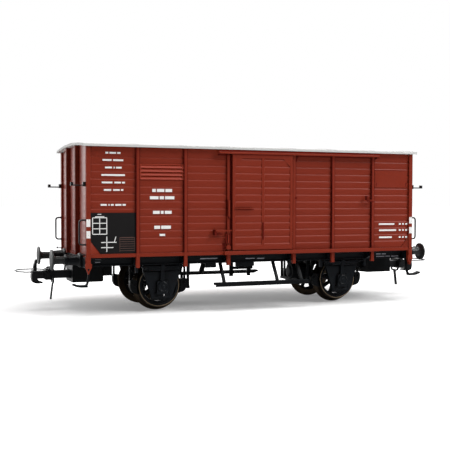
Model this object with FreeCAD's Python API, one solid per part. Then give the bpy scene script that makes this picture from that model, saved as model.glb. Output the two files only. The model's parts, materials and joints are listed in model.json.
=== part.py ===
import FreeCAD, Part
import math
import os

# H0 (1:87) model of a two-axle covered goods wagon, in millimetres.
# +Z is up and X runs along the wagon; the origin is on the floor under the
# middle.  "Front" is the -X end and "left" is the -Y side.  The wagon looks
# the same after half a turn about Z, so a piece is drawn once, on the left
# side or at the rear end, and its partner is turned round.

os.makedirs("parts", exist_ok=True)
V = FreeCAD.Vector

# ---------------------------------------------------------------- body
BODY_L = 92.0            # over the corner posts
BODY_W = 33.0            # over the side posts
WALL_BOTTOM = 14.3
EAVE_Z = 41.05           # underside of the roof along its long edges
ROOF_RISE = 0.9
ROOF_T = 0.6
ROOF_OVER_X = 0.95
ROOF_OVER_Y = 0.7
ROOF_SEAM_W = 0.4
ROOF_SEAM_H = 0.12
ARCH_FLATS = 8           # flats that stand for the arch, 0.02 mm off it
PLANK_T = 0.8
POST_PROUD = 0.4         # side posts stand out from the planks
END_POST_PROUD = 1.0
END_PLANK_IN = 0.45      # end planks lie behind the corner posts
POST_W = 0.9
CORNER_W = 1.1
END_POST_W = 1.0
END_POST_Y = 5.75
PLANK_FIRST_Z = 17.1     # lowest joint between planks
PLANK_PITCH = 1.8
PLANK_JOINTS = 13
GROOVE_W = 0.3
GROOVE_D = 0.16
SILL_H = 0.9
SILL_PROUD = 0.3
END_SILL_PROUD = 0.25
STUB_BOTTOM = 11.6       # feet of the side posts in front of the sole bar
STUB_T = 0.9
CORNER_FOOT_TOP = 12.0   # here a corner post narrows to its pointed foot
CORNER_FOOT_TIP = 10.3
GUSSET_W = 2.3           # corner gussets at the foot of the side walls
GUSSET_TOP = 18.2
GUSSET_T = 0.2
LOAD_FLOOR_TOP = 16.8
LOAD_FLOOR_T = 0.8
BALLAST_MARGIN_X = 6.0
BALLAST_MARGIN_Y = 3.0

# ---------------------------------------------------------------- vents and boards
VENT_Z0, VENT_Z1 = 33.5, 36.8
VENT_SLATS = 4
VENT_FRAME = 0.3
FLAP_Z0, FLAP_Z1 = 32.6, 36.4
FLAP_T = 0.2
BOARD_T = 0.15
BOARD_TOP = 25.1

# ---------------------------------------------------------------- doors
DOOR_W = 17.0
DOOR_T = 0.49
DOOR_TRAVEL = 22.0
DOOR_RUN = 0.08          # running clearance in the guides
DOOR_OPENING_W = 15.2
DOOR_LAP = 0.9           # the door's top covers this much of the wall
DOOR_TOP = 40.5
DOOR_POST_GAP = 0.8      # from the door's edge to the middle of its post
DOOR_FRAME_W = 0.8
DOOR_TOP_FRAME = 1.5
DOOR_PANEL_D = 0.12
DOOR_GUSSET = 2.2
RAIL_LOW_TOP = 15.4
RAIL_LIP_T = 0.3
RAIL_LIP_H = 0.3
RAIL_PAST_DOOR = 4.2     # upper rail goes on past the open door
RAIL_UP_START = 12.25
RAIL_LOW_START = 10.75
LATCH_Z = 20.55          # latch bar beside the door
LATCH_T = 0.3
LATCH_REACH = 4.2
HOOK_Z0, HOOK_Z1 = 17.2, 19.4
STRIP_Z0, STRIP_BEND_Z, STRIP_Z1 = 21.5, 23.6, 29.4   # bent locking strip on the door post
STRIP_T = 0.25
CATCH_T = 0.3
CATCH_Z = 28.3

# ---------------------------------------------------------------- running gear
WHEELBASE = 51.7
TREAD_R = 5.55
TREAD_CONE = 0.2         # the tread is this much smaller at its outer edge
FLANGE_H = 0.9
BACK_TO_BACK = 14.3
TYRE_W = 2.8
TYRE_INNER_R = 4.75
HUB_R = 1.7
SPOKES = 9
SPOKE_ROOT = 1.0
SPOKE_TIP = 0.7
RIM_T = 0.6              # rim of the wheel centre inside the tyre
WEB_Y0, WEB_Y1 = 0.5, 2.0  # disc of the wheel centre, from the wheel's back
AXLE_R = 1.0
JOURNAL_R = 0.6
PRESS = 0.02             # between the pressed pieces of a wheelset
RUN = 0.06               # radial running clearance
SOLE_Y = 13.0            # outer face of the sole bars
SOLE_T = 0.6
SOLE_BOTTOM = 12.0
SOLE_LIP = 0.35
FLOOR_Z = 14.0           # underside of the chassis floor
FLOOR_T = 0.8
GUARD_T = 0.9
GUARD_HALF = 4.9         # half width of an axle guard at its shoulders
GUARD_FOOT_HALF = 2.6
GUARD_SHOULDER_Z = 10.2
GUARD_FOOT_Z = 3.4
HORN_HALF = 2.0          # half width of the gap between the guard's legs
TIE_H = 0.5
BOX_HALF = 1.5
SPRING_LEAVES = 4
LEAF_T = 0.28
LEAF_HALF = 3.6          # half length of the shortest leaf
LEAF_STEP = 0.9
SPRING_SAG = 0.12
SPRING_BRACKET_W = 0.7
SPRING_BRACKET_Z = 10.1
SHOE_GAP = 0.3
SHOE_Y0, SHOE_Y1 = 1.1, 2.6        # across the tread, from the wheel's back
SHOE_XZ = [(5.2, -2.15), (7.0, -1.75), (7.75, -0.6), (7.9, 1.0), (7.9, 2.2), (7.3, 2.75), (5.2, 2.5)]
HANGER_IN, HANGER_OUT = 7.3, 7.9   # the outline above and the hanger are from the axle
HANGER_T = 0.6
BEAM_W, BEAM_H = 0.8, 0.7
BEAM_DROP = 1.2          # foot of a brake beam below the axle
ROD_Y = -3.0             # pull rod, its frame and its carrier
ROD_Z = 8.2
ROD_T = 0.6
ROD_END = 3.7
FRAME_X0, FRAME_X1 = -3.7, 2.4     # open frame round the end of the pull rod
FRAME_Z0, FRAME_Z1 = 7.5, 10.1
FRAME_BAR = 0.75
CARRIER_FOOT_X, CARRIER_HEAD_X = -12.5, -10.7
CYLINDER_X0, CYLINDER_X1 = 14.4, 20.2
CYLINDER_Y, CYLINDER_Z, CYLINDER_R = -3.2, 8.4, 2.3
COVER_T = 0.5
BEARER_CLEAR = 1.25      # outer cross bearers, beyond the shoe hangers
LUGS = [(-14.4, -11.5, 10.85), (-5.95, -0.8, 11.0)]   # under the left sole bar: ends and foot
LUG_Y = 0.9

# ---------------------------------------------------------------- ends
HEAD_BOTTOM = 11.8
BUFFER_Y = 10.05
BUFFER_Z = 13.5
BUFFER_REACH = 7.5       # buffer heads, beyond the corner posts
BUFFER_R = 2.4
BUFFER_SLEEVE = 4.0
HANDRAIL_R = 0.26
IRON_Y_IN = 0.75         # handrails and lamp irons, inside the body's edge
COUPLER_PIVOT_IN = 5.6   # coupler pin, behind the body's end
COUPLER_PIN_R = 0.7
COUPLER_SWING = 8.0      # degrees each way
POCKET_BACK = 2.0        # pocket behind the coupler pin
POCKET_OUT = 0.9         # pocket mouth, beyond the body's end
POCKET_Z0 = 7.35
POCKET_HALF = 4.2
POCKET_NOSE_HALF = 1.8   # half width of its end towards the wheels
POCKET_TAIL = 2.3        # block beyond that end
TAIL_Z0 = 8.6
SHAFT_HALF = 1.1
SHAFT_TAIL = 1.25       # behind the pivot
SHAFT_Z0, SHAFT_Z1 = 8.3, 10.3
LOOP_PIVOT_OUT = 5.9     # loop pin, beyond the body's end
LOOP_PIVOT_Z = 10.4
LOOP_PIN_R = 0.35
LOOP_TIP_OUT = 14.5      # tip of the loop, beyond the body's end
LOOP_HALF = 4.8
LOOP_T = 0.45
EYE_Y0, EYE_Y1 = 1.6, 2.3  # eyes of the loop on its pin
PLATE_TOP_Z = 13.2        # curved front plate of the coupler
PLATE_FOOT_Z = 7.1
PLATE_FOOT_HALF = 2.2
PLATE_TOP_HALF = 1.2
BLOCK_HALF = 1.5
BLOCK_Z0 = 7.95
LEG_CROSS_Z = 7.1
LEG_TIP_Z = 2.9
FOOTBOARD_HALF = 13.2
FOOTBOARD_Z = 6.7
FOOTBOARD_T = 0.6
FOOTBOARD_EDGE = 0.4
STRAP_XS = (-10.4, 4.6, 11.6)
STRAP_W = 1.0
STEP_Z = 7.2
STEP_T = 0.65
STEP_REACH = 3.05
STEP_HALF = 0.9
STEP_HANGER_W = 0.6

# ---------------------------------------------------------------- worked out
HX = BODY_L / 2
HY = BODY_W / 2
PLANK_Y = HY - POST_PROUD
INNER_Y = PLANK_Y - PLANK_T
END_X = HX - END_PLANK_IN
INNER_X = END_X - PLANK_T
ROOF_TOP = EAVE_Z + ROOF_RISE
FLANGE_R = TREAD_R + FLANGE_H
AXLE_Z = FLANGE_R
AXLE_X = WHEELBASE / 2
BEARER_X = AXLE_X + HANGER_OUT + BEARER_CLEAR
DOOR_POST_X = DOOR_W / 2 + DOOR_POST_GAP
BAYS = HX - CORNER_W / 2 - DOOR_POST_X
POST_XS = [DOOR_POST_X, DOOR_POST_X + BAYS * 0.321, DOOR_POST_X + BAYS * 0.662]
ALL_POST_XS = [-x for x in POST_XS] + POST_XS
PLANK_ZS = [PLANK_FIRST_Z + PLANK_PITCH * k for k in range(PLANK_JOINTS)]
DOOR_IN_Y = HY + DOOR_RUN
DOOR_OUT_Y = DOOR_IN_Y + DOOR_T
LIP_Y = DOOR_OUT_Y + DOOR_RUN
DOOR_BOTTOM = RAIL_LOW_TOP + DOOR_RUN
RAIL_END = DOOR_W / 2 + DOOR_TRAVEL + RAIL_PAST_DOOR
SILL_TOP = WALL_BOTTOM + SILL_H
GUARD_OUT_Y = SOLE_Y - SOLE_T
GUARD_IN_Y = GUARD_OUT_Y - GUARD_T
BOX_OUT_Y = SOLE_Y + 0.1
WHEEL_BACK_Y = BACK_TO_BACK / 2
BUFFER_OVER = 2 * (HX + BUFFER_REACH)      # over the buffer heads
BUFFER_X = BUFFER_OVER / 2
COUPLER_PIVOT_X = HX - COUPLER_PIVOT_IN
POCKET_X0, POCKET_X1 = COUPLER_PIVOT_X - POCKET_BACK, HX + POCKET_OUT
LOOP_PIVOT_X, LOOP_REACH = HX + LOOP_PIVOT_OUT, HX + LOOP_TIP_OUT
IRON_Y = HY - IRON_Y_IN


# ---------------------------------------------------------------- helpers
def box(x0, x1, y0, y1, z0, z1):
    """Box between two corners, given in any order."""
    low = V(min(x0, x1), min(y0, y1), min(z0, z1))
    return Part.makeBox(abs(x1 - x0), abs(y1 - y0), abs(z1 - z0), low)


def rod(start, end, r):
    d = V(*end) - V(*start)
    return Part.makeCylinder(r, d.Length, V(*start), d)


def prism(points, direction):
    """Closed polygon of points in space, pushed along a direction."""
    corners = [V(*p) for p in points]
    return Part.Face(Part.makePolygon(corners + corners[:1])).extrude(V(*direction))


def side_prism(xz, y0, y1):
    return prism([(x, y0, z) for x, z in xz], (0, y1 - y0, 0))


def plan_prism(xy, z0, z1):
    return prism([(x, y, z0) for x, y in xy], (0, 0, z1 - z0))


def end_prism(yz, x0, x1):
    return prism([(x0, y, z) for y, z in yz], (x1 - x0, 0, 0))


def turned_ring(profile, centre, axis):
    """Profile of (radius, distance along the axis) swept round the axis."""
    centre, axis = V(*centre), V(*axis)
    corners = [centre + axis * along + V(0, 0, r) for r, along in profile]
    return Part.Face(Part.makePolygon(corners + corners[:1])).revolve(centre, axis, 360)


def fuse(shapes):
    shapes = list(shapes)
    if len(shapes) == 1:
        return shapes[0]
    return shapes[0].multiFuse(shapes[1:]).removeSplitter()


def cut(shape, tools):
    for tool in tools:
        shape = shape.cut(tool)
    return shape


def half_turn(shape):
    other = shape.copy()
    other.rotate(V(0, 0, 0), V(0, 0, 1), 180)
    return other


def both_ways(shapes):
    """The shapes and their partners at the other end of the wagon."""
    return list(shapes) + [half_turn(s) for s in shapes]


def under_arch(lift, x0, x1, z_floor):
    """Everything under the roof's arch between two planes across the wagon."""
    half = HY + ROOF_OVER_Y
    radius = (half ** 2 + ROOF_RISE ** 2) / (2 * ROOF_RISE)
    yz = []
    for i in range(ARCH_FLATS + 1):
        y = half * (2 * i / ARCH_FLATS - 1)
        yz.append((y, ROOF_TOP + lift - radius + math.sqrt(radius ** 2 - y ** 2)))
    return end_prism(yz + [(half, z_floor), (-half, z_floor)], x0, x1)


def side_groove(z, x0, x1, face_y):
    """V groove along X in a face that looks to the left side."""
    yz = [(-face_y - 0.01, z - GROOVE_W / 2), (-face_y - 0.01, z + GROOVE_W / 2), (-face_y + GROOVE_D, z)]
    return end_prism(yz, x0, x1)


# ---------------------------------------------------------------- body pieces
def make_roof():
    """Arched sheet with raised seams over the posts and beads at its ends."""
    rx = HX + ROOF_OVER_X
    sheet = under_arch(ROOF_T, -rx, rx, EAVE_Z - 1)
    bead = rx - ROOF_SEAM_W / 2
    seams = []
    for x in ALL_POST_XS + [-bead, bead]:
        seams.append(under_arch(ROOF_T + ROOF_SEAM_H, x - ROOF_SEAM_W / 2, x + ROOF_SEAM_W / 2, EAVE_Z - 1))
    return fuse([sheet] + seams).cut(under_arch(0, -rx - 1, rx + 1, EAVE_Z - 2))


VENT_X0 = -POST_XS[2] + POST_W / 2 + 0.45
VENT_X1 = -POST_XS[1] - POST_W / 2 - 0.2


def make_side_wall():
    """Planked wall with its door opening and vent opening."""
    wall = box(-HX + CORNER_W, HX - CORNER_W, -PLANK_Y, -INNER_Y, WALL_BOTTOM, ROOF_TOP)
    wall = cut(wall, [side_groove(z, -HX, HX, PLANK_Y) for z in PLANK_ZS])
    half = DOOR_OPENING_W / 2
    wall = cut(wall, [box(-half, half, -HY, 0, LOAD_FLOOR_TOP, DOOR_TOP - DOOR_LAP),
                      box(VENT_X0, VENT_X1, -HY, 0, VENT_Z0, VENT_Z1)])
    return wall.common(under_arch(0, -HX, HX, 0))


def make_side_sill():
    """Strip along the foot of the planks, between the corner posts."""
    return box(-HX + CORNER_W, HX - CORNER_W, -PLANK_Y - SILL_PROUD, -PLANK_Y, WALL_BOTTOM, SILL_TOP)


def make_side_post(x):
    """Post over the planks and the sill, with its foot in front of the sole bar."""
    x0, x1 = x - POST_W / 2, x + POST_W / 2
    post = fuse([box(x0, x1, -HY, -PLANK_Y, WALL_BOTTOM, ROOF_TOP),
                 box(x0, x1, -HY, -HY + STUB_T, STUB_BOTTOM, WALL_BOTTOM)])
    return post.cut(make_side_sill()).common(under_arch(0, -HX, HX, 0))


def make_corner_post(s):
    """Corner post of the left side at end s, with its pointed foot and its gusset."""
    x_out, x_in = s * HX, s * (HX - CORNER_W)
    post = side_prism([(x_out, ROOF_TOP), (x_in, ROOF_TOP), (x_in, CORNER_FOOT_TOP),
                       ((x_out + x_in) / 2, CORNER_FOOT_TIP), (x_out, CORNER_FOOT_TOP)], -HY, -INNER_Y)
    gusset = side_prism([(x_in, GUSSET_TOP), (x_in - s * GUSSET_W, SILL_TOP), (x_in, SILL_TOP)],
                        -PLANK_Y - GUSSET_T, -PLANK_Y)
    return fuse([post, gusset]).common(under_arch(0, -HX, HX, 0))


def make_end_wall():
    """Planked wall between the corner posts."""
    wall = box(INNER_X, END_X, -INNER_Y, INNER_Y, WALL_BOTTOM, ROOF_TOP)
    for z in PLANK_ZS:
        xz = [(END_X, z - GROOVE_W / 2), (END_X, z + GROOVE_W / 2), (END_X - GROOVE_D, z)]
        wall = wall.cut(side_prism(xz, -INNER_Y, INNER_Y))
    return wall.common(under_arch(0, 0, HX, 0))


def make_end_sill():
    return box(END_X, END_X + END_SILL_PROUD, -INNER_Y, INNER_Y, WALL_BOTTOM, SILL_TOP)


def make_end_post(y):
    """Upright post over the planks and the sill of the end."""
    post = box(END_X, END_X + END_POST_PROUD, y - END_POST_W / 2, y + END_POST_W / 2, WALL_BOTTOM, ROOF_TOP)
    return post.cut(make_end_sill()).common(under_arch(0, 0, HX + 1, 0))


def make_louvre():
    """Frame with slanted slats, seated in the vent opening."""
    front_y = PLANK_Y + 0.22
    rim = 0.25
    frame = fuse([box(VENT_X0 - VENT_FRAME, VENT_X1 + 0.15, -front_y, -PLANK_Y,
                      VENT_Z0 - VENT_FRAME, VENT_Z1 + VENT_FRAME),
                  box(VENT_X0, VENT_X1, -PLANK_Y, -INNER_Y, VENT_Z0, VENT_Z1)])
    frame = frame.cut(box(VENT_X0 + rim, VENT_X1 - rim, -HY, 0, VENT_Z0 + rim, VENT_Z1 - rim))
    pitch = (VENT_Z1 - VENT_Z0 - 2 * rim) / VENT_SLATS
    slats = []
    for k in range(VENT_SLATS):
        z = VENT_Z0 + rim + pitch * (k + 0.2)
        yz = [(-front_y, z), (-front_y, z - 0.22), (-INNER_Y - 0.1, z + 0.42), (-INNER_Y - 0.1, z + 0.64)]
        slats.append(end_prism(yz, VENT_X0 + 0.1, VENT_X1 - 0.1))
    return fuse([frame] + slats)


def make_flap():
    """Closed vent flap on two strap hinges."""
    x0, x1 = POST_XS[2] + POST_W / 2 + 0.35, HX - CORNER_W - 0.45
    pieces = [box(x0, x1, -PLANK_Y - FLAP_T, -PLANK_Y, FLAP_Z0, FLAP_Z1)]
    for x in (x0 + 0.6, x1 - 1.2):
        pieces.append(box(x, x + 0.45, -PLANK_Y - FLAP_T - 0.14, -PLANK_Y, FLAP_Z0 - 0.8, FLAP_Z0 + 1.7))
    return fuse(pieces)


def make_board():
    """Thin marking board in the first bay, cut off along the gusset."""
    x0, x1 = -HX + CORNER_W, -POST_XS[2] - POST_W / 2
    z0 = SILL_TOP + 0.05
    return side_prism([(x0, GUSSET_TOP + 0.2), (x0 + GUSSET_W + 0.2, z0), (x1, z0), (x1, BOARD_TOP),
                       (x0, BOARD_TOP)], -PLANK_Y - BOARD_T, -PLANK_Y)


# ---------------------------------------------------------------- doors and their rails
def door_field(s, depth):
    """Planked field of one door half: a panel with its two outer corners cut off."""
    x0, x1 = s * POST_W / 2, s * (DOOR_W / 2 - DOOR_FRAME_W)
    z0, z1 = DOOR_BOTTOM + SILL_H, DOOR_TOP - DOOR_TOP_FRAME
    g = DOOR_GUSSET
    xz = [(x0, z0), (x1 - s * g, z0), (x1, z0 + g), (x1, z1 - g), (x1 - s * g, z1), (x0, z1)]
    return side_prism(xz, -DOOR_OUT_Y - 1, -DOOR_OUT_Y + depth)


def make_door():
    """Sliding door: frame, middle bar and corner plates round two planked fields."""
    door = box(-DOOR_W / 2, DOOR_W / 2, -DOOR_OUT_Y, -DOOR_IN_Y, DOOR_BOTTOM, DOOR_TOP)
    for s in (-1, 1):
        door = door.cut(door_field(s, DOOR_PANEL_D))
        for z in PLANK_ZS:
            groove = side_groove(z, -DOOR_W / 2, DOOR_W / 2, DOOR_OUT_Y - DOOR_PANEL_D)
            groove = groove.common(door_field(s, DOOR_PANEL_D + GROOVE_D))
            if groove.Volume > 0:
                door = door.cut(groove)
    handle = box(-DOOR_W / 2 + 0.4, -2.5, -DOOR_OUT_Y - 0.2, -DOOR_OUT_Y + 0.2, 25.8, 26.2)
    upright = box(-0.2, 0.2, -DOOR_OUT_Y - 0.35, -DOOR_OUT_Y + 0.1, 18.5, 22.8)
    return fuse([door, handle, upright])


def make_rail_upper():
    """Angle over the door's top edge: a lip in front of it and a shelf back to the posts."""
    front = -LIP_Y - RAIL_LIP_T
    return fuse([box(-RAIL_UP_START, RAIL_END, front, -LIP_Y, DOOR_TOP - 0.5, EAVE_Z - 0.1),
                 box(-RAIL_UP_START, RAIL_END, front, -HY, DOOR_TOP + DOOR_RUN, EAVE_Z - 0.1)])


def make_rail_lower():
    """Running rail under the door, with a lip that keeps it in."""
    front = -LIP_Y - RAIL_LIP_T
    return fuse([box(-RAIL_LOW_START, RAIL_END, front, -HY, WALL_BOTTOM, RAIL_LOW_TOP),
                 box(-RAIL_LOW_START, RAIL_END, front, -LIP_Y, WALL_BOTTOM, RAIL_LOW_TOP + RAIL_LIP_H)])


def make_latches():
    """Door latch bar with its brackets, the hook under it and the locking strip above."""
    bar_y = -LIP_Y - LATCH_T
    top = LATCH_Z + LATCH_T
    x_hinge, x_stay = -DOOR_POST_X - LATCH_REACH, -DOOR_POST_X - LATCH_REACH / 2
    latch = fuse([box(x_hinge, -DOOR_W / 2 + LATCH_T, bar_y, -LIP_Y, LATCH_Z, top),
                  box(x_hinge, x_hinge + 0.4, bar_y, -PLANK_Y, LATCH_Z - 3 * LATCH_T, top),
                  box(x_stay, x_stay + LATCH_T, bar_y, -PLANK_Y, LATCH_Z - 2 * LATCH_T, top),
                  box(-DOOR_POST_X - 0.2, -DOOR_POST_X + 0.2, -LIP_Y, -HY, LATCH_Z, top)])
    hook = box(-DOOR_POST_X - 0.45, -DOOR_POST_X + 0.1, -HY - STRIP_T, -HY, HOOK_Z0, HOOK_Z1)
    x_low, x_high = -DOOR_POST_X - 0.2, -DOOR_POST_X + 0.1
    strip = side_prism([(x_low - 0.2, STRIP_Z0), (x_low + 0.2, STRIP_Z0), (x_low + 0.2, STRIP_BEND_Z),
                        (x_high + 0.2, STRIP_BEND_Z + 0.6), (x_high + 0.2, STRIP_Z1), (x_high - 0.2, STRIP_Z1),
                        (x_high - 0.2, STRIP_BEND_Z + 0.6), (x_low - 0.2, STRIP_BEND_Z)], -HY - STRIP_T, -HY)
    return [latch, hook, strip]


def make_catch():
    """Catch that the open door stops at, on the last post."""
    x0 = DOOR_W / 2 + DOOR_TRAVEL + CATCH_T
    z0, z1 = CATCH_Z, CATCH_Z + 2 * CATCH_T
    return fuse([box(x0, POST_XS[2] - POST_W / 2, -HY - CATCH_T, -PLANK_Y, z0, z1),
                 box(x0, x0 + 0.5, -LIP_Y - 0.2, -PLANK_Y, z0 - 2 * CATCH_T, z1 + 2 * CATCH_T)])


# ---------------------------------------------------------------- underframe
def make_sole_bar(s):
    """Sole bar: an upright web with narrow lips along its outer face."""
    web = box(-INNER_X, INNER_X, s * SOLE_Y, s * (SOLE_Y - SOLE_T), SOLE_BOTTOM, FLOOR_Z)
    lips = [box(-INNER_X, INNER_X, s * SOLE_Y, s * (SOLE_Y + SOLE_LIP), z, z + 0.3)
            for z in (SOLE_BOTTOM, FLOOR_Z - 0.3)]
    return fuse([web] + lips)


def make_bearers():
    """Cross bearers between the sole bars, beside the doors and beyond the wheels."""
    web_h, web_half, foot_half, foot_h = 1.5, 0.35, 0.9, 0.3
    y = SOLE_Y - SOLE_T
    out = []
    for x in (-DOOR_POST_X, DOOR_POST_X, -BEARER_X, BEARER_X):
        out.append(fuse([box(x - web_half, x + web_half, -y, y, FLOOR_Z - web_h, FLOOR_Z),
                         box(x - foot_half, x + foot_half, -y, y, FLOOR_Z - web_h, FLOOR_Z - web_h + foot_h)]))
    return out


def make_brackets():
    """Brackets from the sole bars out to the feet of the posts."""
    y_post = -HY + STUB_T
    y_bar = -SOLE_Y - SOLE_LIP
    yz = [(y_bar, SOLE_BOTTOM + 0.2), (y_post, SOLE_BOTTOM + 0.9), (y_post, FLOOR_Z), (y_bar, FLOOR_Z)]
    return both_ways([end_prism(yz, x - 0.35, x + 0.35) for x in ALL_POST_XS])


def guard_pair(make):
    """One piece drawn at the front axle for both sides, and the same at the rear."""
    front = [make(-1), make(1)]
    return front, [half_turn(p) for p in front]


def make_guard(s):
    """Axle guard: a plate with two tapering legs, joined by a tie bar at the foot."""
    y0, y1 = s * GUARD_IN_Y, s * GUARD_OUT_Y
    xz = [(-GUARD_HALF, FLOOR_Z), (GUARD_HALF, FLOOR_Z), (GUARD_HALF, GUARD_SHOULDER_Z),
          (GUARD_FOOT_HALF, GUARD_FOOT_Z), (-GUARD_FOOT_HALF, GUARD_FOOT_Z), (-GUARD_HALF, GUARD_SHOULDER_Z)]
    plate = side_prism([(x - AXLE_X, z) for x, z in xz], y0, y1)
    gap = box(-AXLE_X - HORN_HALF, -AXLE_X + HORN_HALF, y0 - s, y1 + s, GUARD_FOOT_Z + TIE_H, AXLE_Z - 1.4)
    bearing = rod((-AXLE_X, y0 - s, AXLE_Z), (-AXLE_X, y1 + s, AXLE_Z), JOURNAL_R + RUN)
    return cut(plate, [gap, bearing])


def make_axle_box(s):
    """Axle box with a round cover and a neck up to the spring."""
    body = box(-AXLE_X - BOX_HALF, -AXLE_X + BOX_HALF, s * GUARD_OUT_Y, s * BOX_OUT_Y,
               AXLE_Z - 1.9, AXLE_Z + 1.4)
    cover = rod((-AXLE_X, s * GUARD_OUT_Y, AXLE_Z), (-AXLE_X, s * (BOX_OUT_Y + 0.3), AXLE_Z), BOX_HALF - 0.15)
    neck = box(-AXLE_X - 0.6, -AXLE_X + 0.6, s * GUARD_OUT_Y, s * (BOX_OUT_Y - 0.1),
               AXLE_Z + 1.4, SPRING_Z)
    return fuse([body, cover, neck])


SPRING_Z = SOLE_BOTTOM - 0.35 - SPRING_LEAVES * LEAF_T


def make_spring(s):
    """Leaf spring: leaves that get longer upwards, held by a buckle in the middle."""
    y0, y1 = s * (GUARD_OUT_Y + 0.02), s * (GUARD_OUT_Y + 1.0)
    pieces = []
    for k in range(SPRING_LEAVES):
        half = LEAF_HALF + LEAF_STEP * k
        z = SPRING_Z + LEAF_T * k
        drop = SPRING_SAG * half / LEAF_HALF / 2
        xz = [(-half, z + drop), (0, z), (half, z + drop),
              (half, z + drop + LEAF_T), (0, z + LEAF_T), (-half, z + drop + LEAF_T)]
        pieces.append(side_prism([(x - AXLE_X, z) for x, z in xz], y0, y1))
    top = SOLE_BOTTOM - 0.15
    pieces.append(box(-AXLE_X - 0.55, -AXLE_X + 0.55, s * GUARD_OUT_Y, s * (GUARD_OUT_Y + 1.15), SPRING_Z, top))
    return fuse(pieces)


def make_shackle(s, m):
    """Spring bracket beyond one end of the top leaf, under the sole bar."""
    tip = LEAF_HALF + LEAF_STEP * (SPRING_LEAVES - 1) + 0.15
    x0, x1 = -AXLE_X + m * tip, -AXLE_X + m * (tip + SPRING_BRACKET_W)
    return box(x0, x1, s * (GUARD_OUT_Y + 0.05), s * (GUARD_OUT_Y + 0.95), SPRING_BRACKET_Z, SOLE_BOTTOM)


# ---------------------------------------------------------------- wheelsets
def make_axle(x):
    """Turned axle with a journal at each end."""
    tip, shoulder = GUARD_OUT_Y - 0.1, GUARD_IN_Y - 0.3
    journal = rod((x, -tip, AXLE_Z), (x, tip, AXLE_Z), JOURNAL_R)
    return fuse([journal, rod((x, -shoulder, AXLE_Z), (x, shoulder, AXLE_Z), AXLE_R)])


def make_tyre(x, s):
    """Metal tyre with its flange at the inner side and a coned tread."""
    profile = [(TYRE_INNER_R, 0), (FLANGE_R, 0), (TREAD_R, 1.0),
               (TREAD_R - TREAD_CONE, TYRE_W), (TYRE_INNER_R, TYRE_W)]
    return turned_ring([(r, s * (WHEEL_BACK_Y + y)) for r, y in profile], (x, 0, AXLE_Z), (0, 1, 0))


def make_centre(x, s):
    """Wheel centre: a disc with a hub, and pockets that leave tapering spokes."""
    def ring(r0, r1, y0, y1):
        profile = [(r0, y0), (r1, y0), (r1, y1), (r0, y1)]
        return turned_ring([(r, s * (WHEEL_BACK_Y + y)) for r, y in profile], (x, 0, AXLE_Z), (0, 1, 0))

    bore, r_out = AXLE_R + PRESS, TYRE_INNER_R - PRESS
    disc = ring(bore, r_out, WEB_Y0, WEB_Y1)
    hub = ring(bore, HUB_R, WEB_Y0, TYRE_W - 0.2)
    pockets = ring(HUB_R + 0.15, r_out - RIM_T, WEB_Y0, WEB_Y1)
    z_hub, z_rim = AXLE_Z + HUB_R, AXLE_Z + r_out
    for k in range(SPOKES):
        spoke = side_prism([(x - SPOKE_ROOT / 2, z_hub), (x + SPOKE_ROOT / 2, z_hub),
                            (x + SPOKE_TIP / 2, z_rim), (x - SPOKE_TIP / 2, z_rim)],
                           s * WHEEL_BACK_Y, s * (WHEEL_BACK_Y + TYRE_W))
        spoke.rotate(V(x, 0, AXLE_Z), V(0, 1, 0), 360.0 * k / SPOKES)
        pockets = pockets.cut(spoke)
    return fuse([disc, hub]).cut(pockets)


# ---------------------------------------------------------------- brakes
def make_shoes(s):
    """Brake shoes on both sides of the front wheel at side s, on their hangers."""
    y0, y1 = s * (WHEEL_BACK_Y + SHOE_Y0), s * (WHEEL_BACK_Y + SHOE_Y1)
    wheel = rod((-AXLE_X, -HY, AXLE_Z), (-AXLE_X, HY, AXLE_Z), TREAD_R + SHOE_GAP)
    shoes = []
    for m in (-1, 1):
        shoe = side_prism([(-AXLE_X + m * x, AXLE_Z + z) for x, z in SHOE_XZ], y0, y1).cut(wheel)
        hanger = box(-AXLE_X + m * HANGER_IN, -AXLE_X + m * HANGER_OUT, y0, y0 + s * HANGER_T, AXLE_Z, FLOOR_Z)
        shoes.append(fuse([shoe, hanger]))
    return shoes


def make_beam(m):
    """Brake beam from shoe to shoe inside a wheelset, with a carrier at each end."""
    x = m * (AXLE_X - HANGER_OUT - RUN - BEAM_W / 2)
    z = AXLE_Z - BEAM_DROP
    end = WHEEL_BACK_Y + SHOE_Y0 + 0.2
    pieces = [box(x - BEAM_W / 2, x + BEAM_W / 2, -end, end, z, z + BEAM_H)]
    for s in (-1, 1):
        pieces.append(box(x - ROD_T / 2, x + ROD_T / 2, s * (end - HANGER_T), s * end, z, FLOOR_Z))
    return fuse(pieces)


def make_rigging():
    """The two brake beams; a pull rod runs from the front one to an open frame under the floor."""
    half = ROD_T / 2
    y0, y1 = ROD_Y - half, ROD_Y + half
    x0 = -(AXLE_X - HANGER_OUT - RUN)
    pieces = [make_beam(-1),
              box(x0 + 0.1, x0 + 0.1 + ROD_T, y0, y1, AXLE_Z - BEAM_DROP, ROD_Z + ROD_T),
              box(x0 + 0.1, ROD_END, y0, y1, ROD_Z, ROD_Z + ROD_T),
              box(FRAME_X0, FRAME_X0 + 1.0, y0, y1, FRAME_Z0, FLOOR_Z),
              box(FRAME_X0, FRAME_X1 + 0.7, y0, y1, FRAME_Z1 - FRAME_BAR, FRAME_Z1),
              box(FRAME_X1 - 0.9, FRAME_X1, y0, y1, FRAME_Z0, FRAME_Z1),
              side_prism([(CARRIER_FOOT_X - half, ROD_Z), (CARRIER_FOOT_X + half, ROD_Z),
                          (CARRIER_HEAD_X + half, FLOOR_Z), (CARRIER_HEAD_X - half, FLOOR_Z)], y0, y1)]
    return [fuse(pieces), make_beam(1)]


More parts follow.
